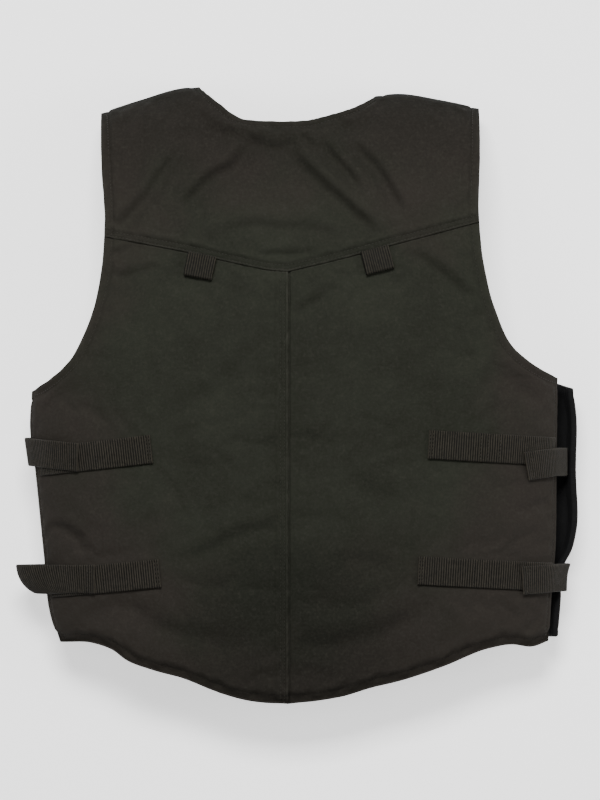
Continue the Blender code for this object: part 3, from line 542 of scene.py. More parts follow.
def paddedPanel(name, plan, surface, softEdges, seamEdges, materials, hem=None, laps=(), grooves=(),
                webbingLines=(), closing=(), shadedBands=()):
    # laps: line, height, flat width, fade; grooves: line, distance from it, depth;
    # shadedBands: line, width and share of painted shade
    points, normal = surface(plan[..., 0], plan[..., 1])
    x, y = plan[..., 0], plan[..., 1]

    def awayFrom(lines):
        return distanceTo(points, [surface(line[:, 0], line[:, 1])[0] for line in lines])

    awaySoft = awayFrom(softEdges)
    awaySeam = awayFrom(seamEdges)
    away = np.minimum(awaySoft, awaySeam)
    wall = wallThickness(away)
    held = away < settling["heldEdge"]
    for line in webbingLines:
        held |= awayFrom([line]) < settling["heldWebbing"]
    raised = settledCover(name, points, normal, wall, held)
    rim = np.maximum(rollOff(awaySoft, vestSettings["softEdgeRadius"]),
                     rollOff(awaySeam, vestSettings["seamEdgeRadius"]))
    if hem is not None:
        awayHem = awayFrom([hem])
        ripple = sum(size * np.sin(x * turns + begin) for size, turns, begin in hemEdge["ripples"])
        nearHem = 1 - smoothStep((awayHem - hemEdge["flat"] - ripple) / hemEdge["fade"])
        raised -= hemEdge["drop"] * nearHem
        wall -= hemEdge["thinning"] * hemEdge["drop"] * nearHem
        rim = np.maximum(rim, rollOff(awayHem, hemEdge["radius"], hemEdge["rollWidth"]))
    for line, height, flat, fade in laps:
        raised += height * (1 - smoothStep((awayFrom([line]) - flat) / fade))
    for line, at, depth in grooves:
        off = awayFrom([line]) - at
        pull = 1 + seamDip["pull"] * np.sin(2 * math.pi * (x + y) / seamDip["pullPitch"])
        raised -= depth * np.exp(-((off / seamDip["width"]) ** 2))
        raised -= seamDip["wideShare"] * depth * pull * np.exp(-((off / seamDip["wideWidth"]) ** 2))
    flat = vestSettings["edgeFlat"]
    raised -= vestSettings["edgeStep"] * (1 - smoothStep((awaySoft - flat) / flat))
    outer = points + normal * (raised - rim)[..., None]
    inner = points + normal * (np.minimum(raised, 0) - wall + rim)[..., None]
    border = borderOf(away.shape)
    outer[border] = (points - normal * 0.5 * wall[..., None])[border]
    # painted shade along the given bands and the shoulders' edges
    shadeShare = np.zeros(away.shape)
    for line, width, share in shadedBands:
        band = 1 - smoothStep((awayFrom([line]) - width) / yokeEdge["bandFade"])
        shadeShare = np.maximum(shadeShare, band * share * (1 - 0.4 * np.abs(x) / 0.17))
    if closing:
        # the yoke's shoulder edges sit down on the front's upper edges
        toShoulder = awayFrom(closing)
        pressed = yokeEdge["pressed"] * np.exp(-((toShoulder / yokeEdge["pressedWidth"]) ** 2))
        outer[..., 2] -= pressed
        inner[..., 2] -= pressed
        shadeShare = np.maximum(shadeShare, np.exp(-((toShoulder / yokeEdge["shoulderShadeWidth"]) ** 2)))
    outer[..., 2] = np.maximum(outer[..., 2], 0)  # the floor holds the front flat
    # paler along the bare edges from rubbing, and painted highlight beside the seams on their folded
    # edges
    bare = [line for line in softEdges if line is not hem]
    rubAndHighlight = np.exp(-((awayFrom(bare) / rubAndHighlightBands["edgeWidth"]) ** 2))
    if laps:
        nearSeam = (awaySeam - rubAndHighlightBands["seamAt"]) / rubAndHighlightBands["seamWidth"]
        rubAndHighlight = rubAndHighlight + rubAndHighlightBands["seamShare"] * np.exp(-(nearSeam**2))
    return closedShell(name, outer, inner, materials, threadUv(points, plan), np.clip(rubAndHighlight, 0, 1), shadeShare)


# Materials
def feed(tree, value, socket):
    if hasattr(value, "is_output"):
        tree.links.new(value, socket)
    else:
        socket.default_value = value


def mathNode(tree, operation, first, second=None, clamp=False):
    node = tree.nodes.new("ShaderNodeMath")
    node.operation = operation
    node.use_clamp = clamp
    feed(tree, first, node.inputs[0])
    if second is not None:
        feed(tree, second, node.inputs[1])
    return node.outputs[0]


def times(tree, first, second, clamp=False):
    return mathNode(tree, "MULTIPLY", first, second, clamp)


def plus(tree, first, second):
    return mathNode(tree, "ADD", first, second)


def minus(tree, first, second):
    return mathNode(tree, "SUBTRACT", first, second)


def mixNode(tree, share, dark, light):
    node = tree.nodes.new("ShaderNodeMix")
    node.data_type = "RGBA"
    for index, value in ((0, share), (6, dark), (7, light)):
        feed(tree, value, node.inputs[index])
    return node.outputs[2]


def noiseNode(tree, vector, scale, detail, roughness=0.5):
    node = tree.nodes.new("ShaderNodeTexNoise")
    given = {"Vector": vector, "Scale": scale, "Detail": detail, "Roughness": roughness}
    for label, value in given.items():
        feed(tree, value, node.inputs[label])
    return node.outputs["Fac"]


def spread(tree, value, low, high, interpolation="LINEAR"):
    node = tree.nodes.new("ShaderNodeMapRange")
    node.interpolation_type = interpolation
    given = {"Value": value, "From Min": low, "From Max": high}
    for label, source in given.items():
        feed(tree, source, node.inputs[label])
    return node.outputs["Result"]


def objectPlace(tree):
    return tree.nodes.new("ShaderNodeTexCoord").outputs["Object"]


def threadPlace(tree):
    uv = tree.nodes.new("ShaderNodeUVMap")
    uv.uv_map = "threads"
    split = tree.nodes.new("ShaderNodeSeparateXYZ")
    tree.links.new(uv.outputs["UV"], split.inputs["Vector"])
    return uv.outputs["UV"], split.outputs["X"], split.outputs["Y"]


def ovalReach(tree, place, scale, shift=(0.0, 0.0, 0.0)):
    # how far a point is from the middle of an oval, 1 at its rim
    shape = tree.nodes.new("ShaderNodeMapping")
    shape.inputs["Location"].default_value = shift
    shape.inputs["Scale"].default_value = scale
    tree.links.new(place, shape.inputs["Vector"])
    size = tree.nodes.new("ShaderNodeVectorMath")
    size.operation = "LENGTH"
    tree.links.new(shape.outputs["Vector"], size.inputs[0])
    return size.outputs["Value"]


def pointShare(tree, label):
    node = tree.nodes.new("ShaderNodeAttribute")
    node.attribute_name = label
    return node.outputs["Fac"]


def startGroup(name, inputs, outputs):
    group = bpy.data.node_groups.new(name, "ShaderNodeTree")
    for label, value in inputs.items():
        socket = group.interface.new_socket(label, in_out="INPUT", socket_type="NodeSocketFloat")
        socket.default_value = value
    for label in outputs:
        group.interface.new_socket(label, in_out="OUTPUT", socket_type="NodeSocketFloat")
    given = group.nodes.new("NodeGroupInput").outputs
    result = group.nodes.new("NodeGroupOutput").inputs
    return group, given, result


def makeThreadWeave():
    # plain weave of crossing threads, uneven as spun yarn is
    group, given, result = startGroup("threadWeave", {"ThreadsPerMetre": 1400.0, "Slub": 0.35},
                                      ["Height", "Tone"])
    place, across, along = threadPlace(group)
    turns = times(group, given["ThreadsPerMetre"], math.pi)
    checks = times(group, mathNode(group, "SINE", times(group, across, turns)),
                   mathNode(group, "SINE", times(group, along, turns)))
    yarn = noiseNode(group, place, 420.0, 3.0)
    slub = times(group, minus(group, yarn, 0.5), given["Slub"])
    height = plus(group, plus(group, times(group, checks, 0.5), 0.5), slub)
    feed(group, height, result["Height"])
    feed(group, spread(group, yarn, 0.3, 0.7), result["Tone"])
    return group


def makeWaxMottle():
    # waxed cloth darkens in soft patches and pales in fine specks where the wax has cracked
    group, given, result = startGroup("waxMottle", {"PatchScale": 14.0, "SpeckScale": 260.0},
                                      ["Patches", "Specks", "Bump"])
    place = objectPlace(group)
    patches = noiseNode(group, place, given["PatchScale"], 4.0, 0.55)
    specks = noiseNode(group, place, given["SpeckScale"], 3.0, 0.7)
    middling = noiseNode(group, place, 70.0, 4.0, 0.6)
    both = plus(group, times(group, patches, 0.6), times(group, middling, 0.4))
    bump = plus(group, times(group, middling, 0.7), times(group, specks, 0.3))
    feed(group, spread(group, both, 0.38, 0.63), result["Patches"])
    feed(group, spread(group, specks, 0.50, 0.72), result["Specks"])
    feed(group, bump, result["Bump"])
    return group


def makeEdgeRub():
    # cloth is paler along its bare edges from rubbing, and painted highlight pales the folded seam edges
    # and the tops of the ribs
    group, given, result = startGroup("edgeRub", {"Reach": 0.5}, ["Rub"])
    broken = spread(group, noiseNode(group, objectPlace(group), 95.0, 3.0, 0.65), 0.35, 0.65)
    rubAndHighlight = times(group, pointShare(group, "rubAndHighlightShare"), broken)
    feed(group, times(group, rubAndHighlight, given["Reach"], clamp=True), result["Rub"])
    return group


def makeRibHollowShade():
    # painted shade in the hollows between the ribs across a webbing, so that their tops stand out pale
    group, given, result = startGroup("ribHollowShade", {"RibsPerMetre": 465.0}, ["Top"])
    place, along, across = threadPlace(group)
    turns = times(group, given["RibsPerMetre"], 2 * math.pi)
    wave = mathNode(group, "SINE", times(group, along, turns))
    broken = times(group, minus(group, noiseNode(group, place, 300.0, 2.0), 0.5), 2.2)
    feed(group, spread(group, plus(group, wave, broken), -0.5, 0.7), result["Top"])
    return group


def makeOuterFadeAndLight():
    # the cloth turns from olive to brown towards its edges, and is a little lighter there as painted
    # light
    group, given, result = startGroup("outerFadeAndLight", {"Start": 0.62, "Finish": 1.05}, ["Fade"])
    place = objectPlace(group)
    outward = ovalReach(group, place, (1 / 0.235, 1 / 0.275, 1 / 0.4))
    wander = times(group, minus(group, noiseNode(group, place, 9.0, 3.0, 0.6), 0.5), 0.9)
    fade = spread(group, plus(group, outward, wander), given["Start"], given["Finish"], "SMOOTHSTEP")
    feed(group, fade, result["Fade"])
    return group


def makePaintedShadeTone():
    # painted shade: darker over the shoulders and along their edges, low on the back,
    # and in the band of the yoke seam, where the cloth slopes down into the seam
    group, given, result = startGroup("paintedShadeTone", {"Shoulders": 0.5, "LowBack": 0.25, "Edges": 1.0},
                                      ["Shade"])
    place = objectPlace(group)
    split = group.nodes.new("ShaderNodeSeparateXYZ")
    feed(group, place, split.inputs["Vector"])
    high = spread(group, split.outputs["Y"], 0.150, 0.285, "SMOOTHSTEP")
    lowBack = ovalReach(group, place, (1 / 0.165, 1 / 0.13, 0.0), (0.0, 0.205 / 0.13, 0.0))
    low = spread(group, lowBack, 1.0, 0.15, "SMOOTHSTEP")
    both = plus(group, times(group, high, given["Shoulders"]), times(group, low, given["LowBack"]))
    uneven = times(group, both, spread(group, noiseNode(group, place, 13.0, 4.0, 0.6), 0.05, 0.50))
    edges = times(group, pointShare(group, "paintedShadeShare"), given["Edges"])
    kept = times(group, minus(group, 1.0, uneven), minus(group, 1.0, edges))
    feed(group, minus(group, 1.0, kept), result["Shade"])
    return group


threadWeave = makeThreadWeave()
paintedShadeTone = makePaintedShadeTone()
outerFadeAndLight = makeOuterFadeAndLight()
ribHollowShade = makeRibHollowShade()
waxMottle = makeWaxMottle()
edgeRub = makeEdgeRub()


def placeGroup(tree, group, **values):
    node = tree.nodes.new("ShaderNodeGroup")
    node.node_tree = group
    for label, value in values.items():
        node.inputs[label].default_value = value
    return node.outputs


def bumpNode(tree, height, strength, distance):
    node = tree.nodes.new("ShaderNodeBump")
    node.inputs["Strength"].default_value = strength
    node.inputs["Distance"].default_value = distance
    feed(tree, height, node.inputs["Height"])
    return node


def rgb(values, share=1.0):
    return (share * values[0], share * values[1], share * values[2], 1.0)


# what all the cloths have in common: how brown they fade, and how dark and where their painted shade lies
clothFadeAndShade = {"faded": 0.85, "shadeLevel": 0.3, "shoulders": 0.62, "lowBack": 0.50, "sheenRoughness": 0.45,
             "weaveDepth": 0.0004, "softDepth": 0.0016}


def makeCloth(name, look):
    material = bpy.data.materials.new(name)
    material.use_nodes = True
    tree = material.node_tree
    shader = tree.nodes["Principled BSDF"].inputs
    dark, light, wornAndHighlight, warm = (rgb(look[label]) for label in ("dark", "light", "wornAndHighlight", "warm"))
    weave = placeGroup(tree, threadWeave, ThreadsPerMetre=look["threads"], Slub=look["slub"])
    mottle = placeGroup(tree, waxMottle, PatchScale=look["patchScale"], SpeckScale=look["speckScale"])
    fade = placeGroup(tree, outerFadeAndLight)["Fade"]
    shade = placeGroup(tree, paintedShadeTone, Shoulders=clothFadeAndShade["shoulders"],
                       LowBack=clothFadeAndShade["lowBack"])["Shade"]
    colour = mixNode(tree, mottle["Patches"], dark, light)
    # brown towards the edges, and a little lighter there as painted light
    colour = mixNode(tree, times(tree, fade, clothFadeAndShade["faded"]), colour, warm)
    # painted shade over the shoulders, low on the back and along the yoke seam
    colour = mixNode(tree, shade, colour, rgb(look["dark"], clothFadeAndShade["shadeLevel"]))
    colour = mixNode(tree, times(tree, mottle["Specks"], look["specks"]), colour, wornAndHighlight)
    colour = mixNode(tree, times(tree, weave["Tone"], look["yarnTone"]), colour, wornAndHighlight)
    # paler along the edges: rubbed wear, and painted highlight on the folded seam edges and on the
    # webbing's rib tops and folded ends
    colour = mixNode(tree, placeGroup(tree, edgeRub, Reach=look["rubAndHighlight"])["Rub"], colour, wornAndHighlight)
    # painted shade in the hollows between the webbing's ribs
    if look["ribs"]:
        ribs = placeGroup(tree, ribHollowShade, RibsPerMetre=look["ribs"])
        colour = mixNode(tree, ribs["Top"], rgb(look["between"]), colour)
    feed(tree, colour, shader["Base Color"])
    rough = spread(tree, mottle["Patches"], 0.0, 1.0)
    rough.node.inputs["To Min"].default_value = look["roughness"][0]
    rough.node.inputs["To Max"].default_value = look["roughness"][1]
    feed(tree, rough, shader["Roughness"])
    shader["Sheen Weight"].default_value = look["sheen"]
    shader["Sheen Roughness"].default_value = clothFadeAndShade["sheenRoughness"]
    shader["Specular IOR Level"].default_value = look["specular"]
    fine = bumpNode(tree, weave["Height"], look["weaveBump"], clothFadeAndShade["weaveDepth"])
    coarse = bumpNode(tree, mottle["Bump"], look["softBump"], clothFadeAndShade["softDepth"])
    feed(tree, fine.outputs["Normal"], coarse.inputs["Normal"])
    feed(tree, coarse.outputs["Normal"], shader["Normal"])
    return material


clothLook = {"ribs": 0, "threads": 1500.0, "slub": 0.5, "speckScale": 300.0, "sheen": 0.0}
waxedCloth = makeCloth("waxedCloth", {
    **clothLook, "dark": (0.0134, 0.0146, 0.0104), "light": (0.0190, 0.0208, 0.0152),
    "wornAndHighlight": (0.044, 0.042, 0.035), "warm": (0.0218, 0.0180, 0.0156), "patchScale": 13.0, "specks": 0.19,
    "yarnTone": 0.15, "rubAndHighlight": 0.40, "roughness": (0.80, 0.94), "specular": 0.045, "weaveBump": 0.45,
    "softBump": 0.34})
frontCloth = makeCloth("frontCloth", {
    **clothLook, "dark": (0.0030, 0.0028, 0.0027), "light": (0.0046, 0.0043, 0.0041),
    "wornAndHighlight": (0.014, 0.0125, 0.0115), "warm": (0.0046, 0.0040, 0.0039), "patchScale": 11.0, "specks": 0.10,
    "yarnTone": 0.14, "rubAndHighlight": 0.26, "roughness": (0.76, 0.90), "sheen": 0.01, "specular": 0.12,
    "weaveBump": 0.35, "softBump": 0.24})
liningCloth = makeCloth("liningCloth", {
    **clothLook, "dark": (0.0030, 0.0030, 0.0032), "light": (0.0046, 0.0046, 0.0049),
    "wornAndHighlight": (0.014, 0.014, 0.015), "warm": (0.0038, 0.0038, 0.0039), "threads": 900.0, "slub": 0.2,
    "patchScale": 18.0, "speckScale": 200.0, "specks": 0.04, "yarnTone": 0.20, "rubAndHighlight": 0.05,
    "roughness": (0.72, 0.86), "specular": 0.10, "weaveBump": 0.50, "softBump": 0.12})
# between: the colour of the painted shade in the hollows between the ribs
ribbedWebbing = makeCloth("ribbedWebbing", {
    "ribs": 1 / 0.00215, "between": (0.0034, 0.0031, 0.0023), "dark": (0.0150, 0.0136, 0.0093),
    "light": (0.0214, 0.0195, 0.0137), "wornAndHighlight": (0.051, 0.044, 0.031), "warm": (0.0225, 0.0190, 0.0146),
    "threads": 2600.0, "slub": 0.3, "patchScale": 30.0, "speckScale": 420.0, "specks": 0.18,
    "yarnTone": 0.16, "rubAndHighlight": 0.34, "roughness": (0.70, 0.86), "sheen": 0.01, "specular": 0.16,
    "weaveBump": 0.50, "softBump": 0.12})
threadLook = {
    **clothLook, "threads": 4000.0, "slub": 0.2, "patchScale": 60.0, "speckScale": 500.0, "specks": 0.20,
    "yarnTone": 0.20, "rubAndHighlight": 0.0, "roughness": (0.55, 0.70), "specular": 0.20, "weaveBump": 0.20,
    "softBump": 0.05}
sewingThread = makeCloth("sewingThread", {
    **threadLook, "dark": (0.0118, 0.0116, 0.0085), "light": (0.0168, 0.0164, 0.0121),
    "wornAndHighlight": (0.036, 0.033, 0.026), "warm": (0.0200, 0.0170, 0.0138)})
webbingThread = makeCloth("webbingThread", {
    **threadLook, "dark": (0.0110, 0.0098, 0.0066), "light": (0.0160, 0.0142, 0.0098),
    "wornAndHighlight": (0.036, 0.031, 0.022), "warm": (0.0160, 0.0132, 0.0098), "sheen": 0.01, "specular": 0.25})
hemThread = makeCloth("hemThread", {
    **threadLook, "dark": (0.0066, 0.0066, 0.0050), "light": (0.0095, 0.0095, 0.0072),
    "wornAndHighlight": (0.020, 0.019, 0.015), "warm": (0.0095, 0.0082, 0.0068), "yarnTone": 0.15,
    "roughness": (0.60, 0.75), "specular": 0.12})
zipLook = {**clothLook, "patchScale": 40.0, "specks": 0.05, "rubAndHighlight": 0.0}
zipCloth = makeCloth("zipCloth", {
    **zipLook, "dark": (0.0080, 0.0080, 0.0082), "light": (0.0110, 0.0110, 0.0112),
    "wornAndHighlight": (0.026, 0.026, 0.026), "warm": (0.0100, 0.0096, 0.0096), "threads": 2400.0, "slub": 0.2,
    "speckScale": 500.0, "yarnTone": 0.25, "rubAndHighlight": 0.2, "roughness": (0.60, 0.72), "sheen": 0.05,
    "specular": 0.35, "weaveBump": 0.50, "softBump": 0.05})
zipPlastic = makeCloth("zipPlastic", {
    **zipLook, "dark": (0.0080, 0.0080, 0.0080), "light": (0.0120, 0.0120, 0.0120),
    "wornAndHighlight": (0.028, 0.028, 0.028), "warm": (0.0100, 0.0100, 0.0100), "threads": 600.0, "slub": 0.0,
    "speckScale": 700.0, "yarnTone": 0.0, "roughness": (0.32, 0.45), "specular": 0.50,
    "weaveBump": 0.0, "softBump": 0.08})


# Panels
sides = {-1: "left", 1: "right"}
coarseStep = 0.0021
fineStep = 0.0006
strips = {
    "left_upper": ((-0.1215, 0.2290), (-0.2220, 0.2175)),
    "left_lower": ((-0.1143, 0.1180), (-0.2120, 0.1085)),
    "right_upper": ((0.1252, 0.2332), (0.2380, 0.2265)),
    "right_lower": ((0.1161, 0.1206), (0.2360, 0.1140)),
}
loopRoots = {"left": -0.0765, "right": 0.0770}
# sewn rows and the grooves that they pull, by their distance from the edge and the groove's depth
sewing = {
    "edge": 0.0072,
    "zip": 0.0045,
    "yoke": (0.0015, 0.0056),
    "centre": (0.0032, 0.0065),
    "hemGroove": (0.0072, 0.00022),
    "sideGroove": (0.0072, 0.00055),
    "neckGroove": (0.0072, 0.00045),
    "frontGroove": (0.0072, 0.00040),
    "armholeGroove": (0.0084, 0.00075),
    "yokeGrooves": [(0.0014, 0.00050), (0.0056, 0.00070)],
    "centreGrooves": {"left": [(0.0031, 0.00055), (0.0064, 0.00055)], "right": []},
}
# the left panel laps over the right one at the centre seam, and the yoke over both:
# height, flat width and fade of each step, and the shift of the edge
lapping = {
    "yoke": [(0.0012, 0.0090, 0.0060)],
    "underYoke": [(-0.0006, 0.0020, 0.007), (-0.0011, 0.0012, 0.0014)],
    "left": [(0.0010, 0.0085, 0.0040)],
    "right": [(-0.0005, 0.001, 0.005), (-0.0014, 0.0012, 0.0014)],
    "centreShift": {"left": 0.0005, "right": -0.0009},
    "underYokeShift": 0.0009,
    "yokeShift": -0.0004,
}
yokeShadeBand = {"width": 0.0076, "share": 0.32}  # painted shade along the yoke's lower edge, where the cloth slopes down into the seam

armholes = {-1: through(leftArmhole, -1), 1: through(rightArmhole, 1)}
belowYoke, aboveYoke, yokeSeams = {}, {}, {}
for side in sides:
    yokeSeams[side] = resampled(through(yokeSeamPoints[side], side), np.linspace(0, 1, 260))
    belowYoke[side], aboveYoke[side] = cutAt(armholes[side], yokeSeams[side][-1])
centreSeam = resampled(np.array([(0.0, 0.0), yokeSeams[1][0]]), np.linspace(0, 1, 400))
panels = {}
backLines = {}
frontLines = {}


def dense(line, step=0.0012):
    return resampled(line, np.linspace(0, 1, max(8, int(lengthsAlong(line)[-1] / step))))


def sharesBetween(start, finish, surface, fine=fineStep, coarse=coarseStep):
    return sharesAlong(np.array([start, finish]), surface, fine, coarse, 0.009)


def beside(line, at):
    return line[np.argmin(np.abs(line[:, 1] - at))]


def keepPanel(word, panel, node):
    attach(panel, "root")
    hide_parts(node)
    panels[word] = panel


print("sewing the back")
for side, hemPoints, sidePoints in ((-1, leftHem, leftSide), (1, rightHem, rightSide)):
    word = sides[side]
    hem = dense(through(hemPoints, side))
    sideEdge = dense(through(sidePoints, side))
    armhole = belowYoke[side]
    columns = sharesBetween((side * 0.0003, 0.20), beside(sideEdge, 0.20), backSurface)
    rows = snapped(sharesBetween((side * 0.10, 0.030), (side * 0.10, 0.405), backSurface), [0.6])
    plan = coons(resampled(hem, columns), resampled(yokeSeams[side], columns),
                 resampled(centreSeam, rows), chained([(sideEdge, 0.6), (armhole, 1.0)], rows))
    plan[..., 0] += lapping["centreShift"][word] * (1 - columns[None, :]) ** 12
    plan[..., 1] += lapping["underYokeShift"] * rows[:, None] ** 12
    laps = [(yokeSeams[side], *lap) for lap in lapping["underYoke"]]
    laps += [(centreSeam, *lap) for lap in lapping[word]]
    grooves = [(hem, *sewing["hemGroove"]), (sideEdge, *sewing["sideGroove"]),
               (armhole, *sewing["armholeGroove"])]
    grooves += [(centreSeam, *groove) for groove in sewing["centreGrooves"][word]]
    webbingLines = [dense(np.array(strips[f"{word}_{level}"])) for level in ("upper", "lower")]
    webbingLines.append(np.array([(loopRoots[word], 0.4050), (loopRoots[word], 0.3880)]))
    panel = paddedPanel(f"back{word.capitalize()}Panel", plan, backSurface,
                        [hem, sideEdge, dense(armhole)], [yokeSeams[side], centreSeam],
                        [waxedCloth, liningCloth], hem, laps, grooves, webbingLines)
    keepPanel("back" + word, panel, f"back_{word}_panel")
    backLines[side] = {"hem": hem, "side": sideEdge, "armhole": armhole}

print("sewing the yoke")
neckLines = {-1: through(leftNeck, -1), 1: through(rightNeck, 1)}
neckLine = np.concatenate([neckLines[-1], neckLines[1][::-1][1:]])
wholeSeam = np.concatenate([yokeSeams[-1][::-1], yokeSeams[1][1:]])
columns = sharesBetween((-0.1650, 0.470), (0.1720, 0.470), backSurface)
columns = snapped(columns, [0.26, 0.5, 0.735])
rows = sharesBetween((-0.12, 0.4120), (-0.12, 0.5466), backSurface)
bottom = chained([(yokeSeams[-1][::-1], 0.5), (yokeSeams[1], 1.0)], columns)
top = chained([(shoulderLines[-1], 0.26), (neckLine, 0.735), (shoulderLines[1][::-1], 1.0)], columns)
plan = coons(bottom, top, resampled(aboveYoke[-1], rows), resampled(aboveYoke[1], rows))
plan[..., 1] += lapping["yokeShift"] * (1 - rows[:, None]) ** 12
upperArmholes = [dense(aboveYoke[side]) for side in sides]
shoulders = [dense(shoulderLines[side]) for side in sides]
grooves = [(wholeSeam, *groove) for groove in sewing["yokeGrooves"]] + [(neckLine, *sewing["neckGroove"])]
grooves += [(line, *sewing["armholeGroove"]) for line in upperArmholes]
yoke = paddedPanel("backYoke", plan, backSurface, [dense(neckLine)] + upperArmholes,
                   [wholeSeam] + shoulders, [waxedCloth, liningCloth],
                   laps=[(wholeSeam, *lap) for lap in lapping["yoke"]], grooves=grooves,
                   closing=shoulders, shadedBands=[(wholeSeam, yokeShadeBand["width"], yokeShadeBand["share"])])
keepPanel("yoke", yoke, "back_yoke")

print("sewing the front")
for side, hemPoints, sidePoints, armholePoints, neckPoints in (
        (-1, leftFrontHem, leftFrontSide, leftFrontArmhole, leftFrontNeck),
        (1, rightFrontHem, rightFrontSide, rightFrontArmhole, rightFrontNeck)):
    word = sides[side]
    hem = through(hemPoints, 1) * (side, 1)
    neck = through(neckPoints, 1) * (side, 1)
    opening = 0.003 + side * 0.005  # the zip's edge of this half
    hem[0, 0] = opening
    neck[0, 0] = opening
    zipEdge = dense(np.array([(opening, 0.052), (opening, 0.444)]))
    sideEdge = through(sidePoints, side)
    armhole = through(armholePoints, side)
    steps = (frontSurface, 1.6 * fineStep, 2 * coarseStep)
    columns = sharesBetween((opening, 0.20), beside(sideEdge, 0.20), *steps)
    rows = snapped(sharesBetween((side * 0.11, 0.055), (side * 0.11, 0.540), *steps), [0.45, 0.62])
    plan = coons(resampled(hem, columns), resampled(shoulderLines[side][::-1], columns),
                 chained([(zipEdge, 0.62), (neck, 1.0)], rows),
                 chained([(sideEdge, 0.45), (armhole, 1.0)], rows))
    edges = {"hem": hem, "neck": neck, "side": sideEdge, "armhole": armhole, "zip": zipEdge}
    softEdges = [dense(hem), dense(neck), dense(sideEdge), dense(armhole), zipEdge]
    grooves = [(dense(line), *sewing["frontGroove"]) for line in edges.values()]
    panel = paddedPanel(f"front{word.capitalize()}Panel", plan, frontSurface, softEdges,
                        [dense(shoulderLines[side])], [frontCloth, liningCloth], grooves=grooves)
    keepPanel("front" + word, panel, f"front_{word}_panel")
    frontLines[side] = edges


# Webbing
webbing = {
    "width": 0.0255,
    "thickness": 0.0016,
    "layGap": 0.0006,
    "stackGap": 0.0005,
    "ribPitch": 0.00215,
    "ribHeight": 0.00034,
    "cords": 9,  # that lie along the webbing under the ribs
    "cordShare": 0.10,
    "selvage": 0.0010,
    "ribStart": 0.0004,
    "ribFade": 0.0010,
    "flattened": 0.85,  # of the ribs over the folded end
    "fold": 0.0026,
    "foldFade": 0.0008,
    "foldRise": 0.00045,
    "cutRadius": 0.0007,
    "step": 0.00030,
}
halfShares = [0.06, 0.18, 0.30, 0.40, 0.445, 0.475, 0.492, 0.5]
acrossShares = np.array([-share for share in halfShares[::-1]] + halfShares)
acrossWebbing = acrossShares * webbing["width"]


def ribbon(name, under, isLoop=False):
    # under is the webbing's lower face, rows along it from its folded end and columns across it
    along = np.gradient(under, axis=0)
    across = np.gradient(under, axis=1)
    normal = np.cross(along, across)
    normal /= np.linalg.norm(normal, axis=2, keepdims=True)
    reach = lengthsAlong(under[:, under.shape[1] // 2])
    fold = 1 - smoothStep((reach - webbing["fold"]) / webbing["foldFade"])
    toSelvage = (0.5 - np.abs(acrossShares)) * webbing["width"]
    ribs = 0.5 * np.sin(2 * math.pi * reach / webbing["ribPitch"])[:, None]
    ribs = ribs * smoothStep((toSelvage - webbing["ribStart"]) / webbing["ribFade"])[None, :]
    ribs = ribs * (1 - webbing["flattened"] * fold[:, None])
    if isLoop:
        # its ribs run along it, and both its ends are sewn into the seam
        ribs = 0 * ribs
        fold = 0 * fold
    cords = webbing["cordShare"] * np.cos(2 * math.pi * acrossShares * webbing["cords"])[None, :]
    thick = (webbing["thickness"] + webbing["ribHeight"] * (ribs + cords)
             + webbing["foldRise"] * fold[:, None])
    toCut = np.minimum(reach, reach[-1] - reach)
    rim = np.maximum(rollOff(toSelvage, webbing["selvage"])[None, :],
                     rollOff(toCut, webbing["cutRadius"])[:, None])
    rim = np.minimum(rim, 0.5 * webbing["thickness"])
    outer = under + normal * (thick - rim)[..., None]
    inner = under + normal * (0.35 * rim)[..., None]
    border = borderOf(thick.shape)
    outer[border] = (under + normal * 0.5 * webbing["thickness"])[border]
    uv = np.stack(np.broadcast_arrays(reach[:, None], acrossWebbing[None, :]), axis=-1)
    uv = uv[..., ::-1] if isLoop else uv
    # painted highlight on the ribs' tops and the folded end, and rubbed wear along the selvages
    rubAndHighlight = 0.9 * (ribs > 0.15) + np.exp(-((toSelvage / 0.0012) ** 2))[None, :] + 0.6 * fold[:, None]
    piece = closedShell(name, outer, inner, [ribbedWebbing], uv, np.clip(rubAndHighlight, 0, 1))
    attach(piece, "root")
    return piece


def backStrip(name, ends):
    start, stop = np.array(ends)
    span = stop - start
    across = np.array([-span[1], span[0]]) / np.hypot(*span)
    count = int(1.06 * np.hypot(*span) / webbing["step"])
    line = resampled(np.array([start, start + span]), np.linspace(0, 1, 600))
    lengths = lengthsAlong(backSurface(line[:, 0], line[:, 1])[0])
    along = np.interp(np.linspace(0, lengths[-1], count), lengths, np.linspace(0, 1, 600))
    plan = start + along[:, None, None] * span + acrossWebbing[None, :, None] * across
    points, normal = backSurface(plan[..., 0], plan[..., 1])
    return ribbon(name, points + normal * webbing["layGap"])


def taut(path):
    # the path pulled tight: its points on the outside of a turn that goes out, down and in
    kept = []
    for point in path:
        while len(kept) > 1:
            first = kept[-1] - kept[-2]
            second = point - kept[-1]
            if first[0] * second[2] - first[2] * second[0] < 0:
                break
            kept.pop()
        kept.append(point)
    return np.array(kept)


def over(surface, x, y, side, clearance):
    # points over a surface, with their distance out instead of x
    points, normal = surface(side * x, y)
    flat = normal * (1, 0, 1)
    flat /= np.linalg.norm(flat, axis=-1, keepdims=True)
    return (points + flat * np.reshape(clearance, (-1, 1))) * (side, 1, 1)


def roundEdge(point, clearance, high, low):
    angle = np.radians(np.linspace(high, low, 17))
    return point + clearance * np.stack([np.cos(angle), np.zeros(17), np.sin(angle)], axis=1)


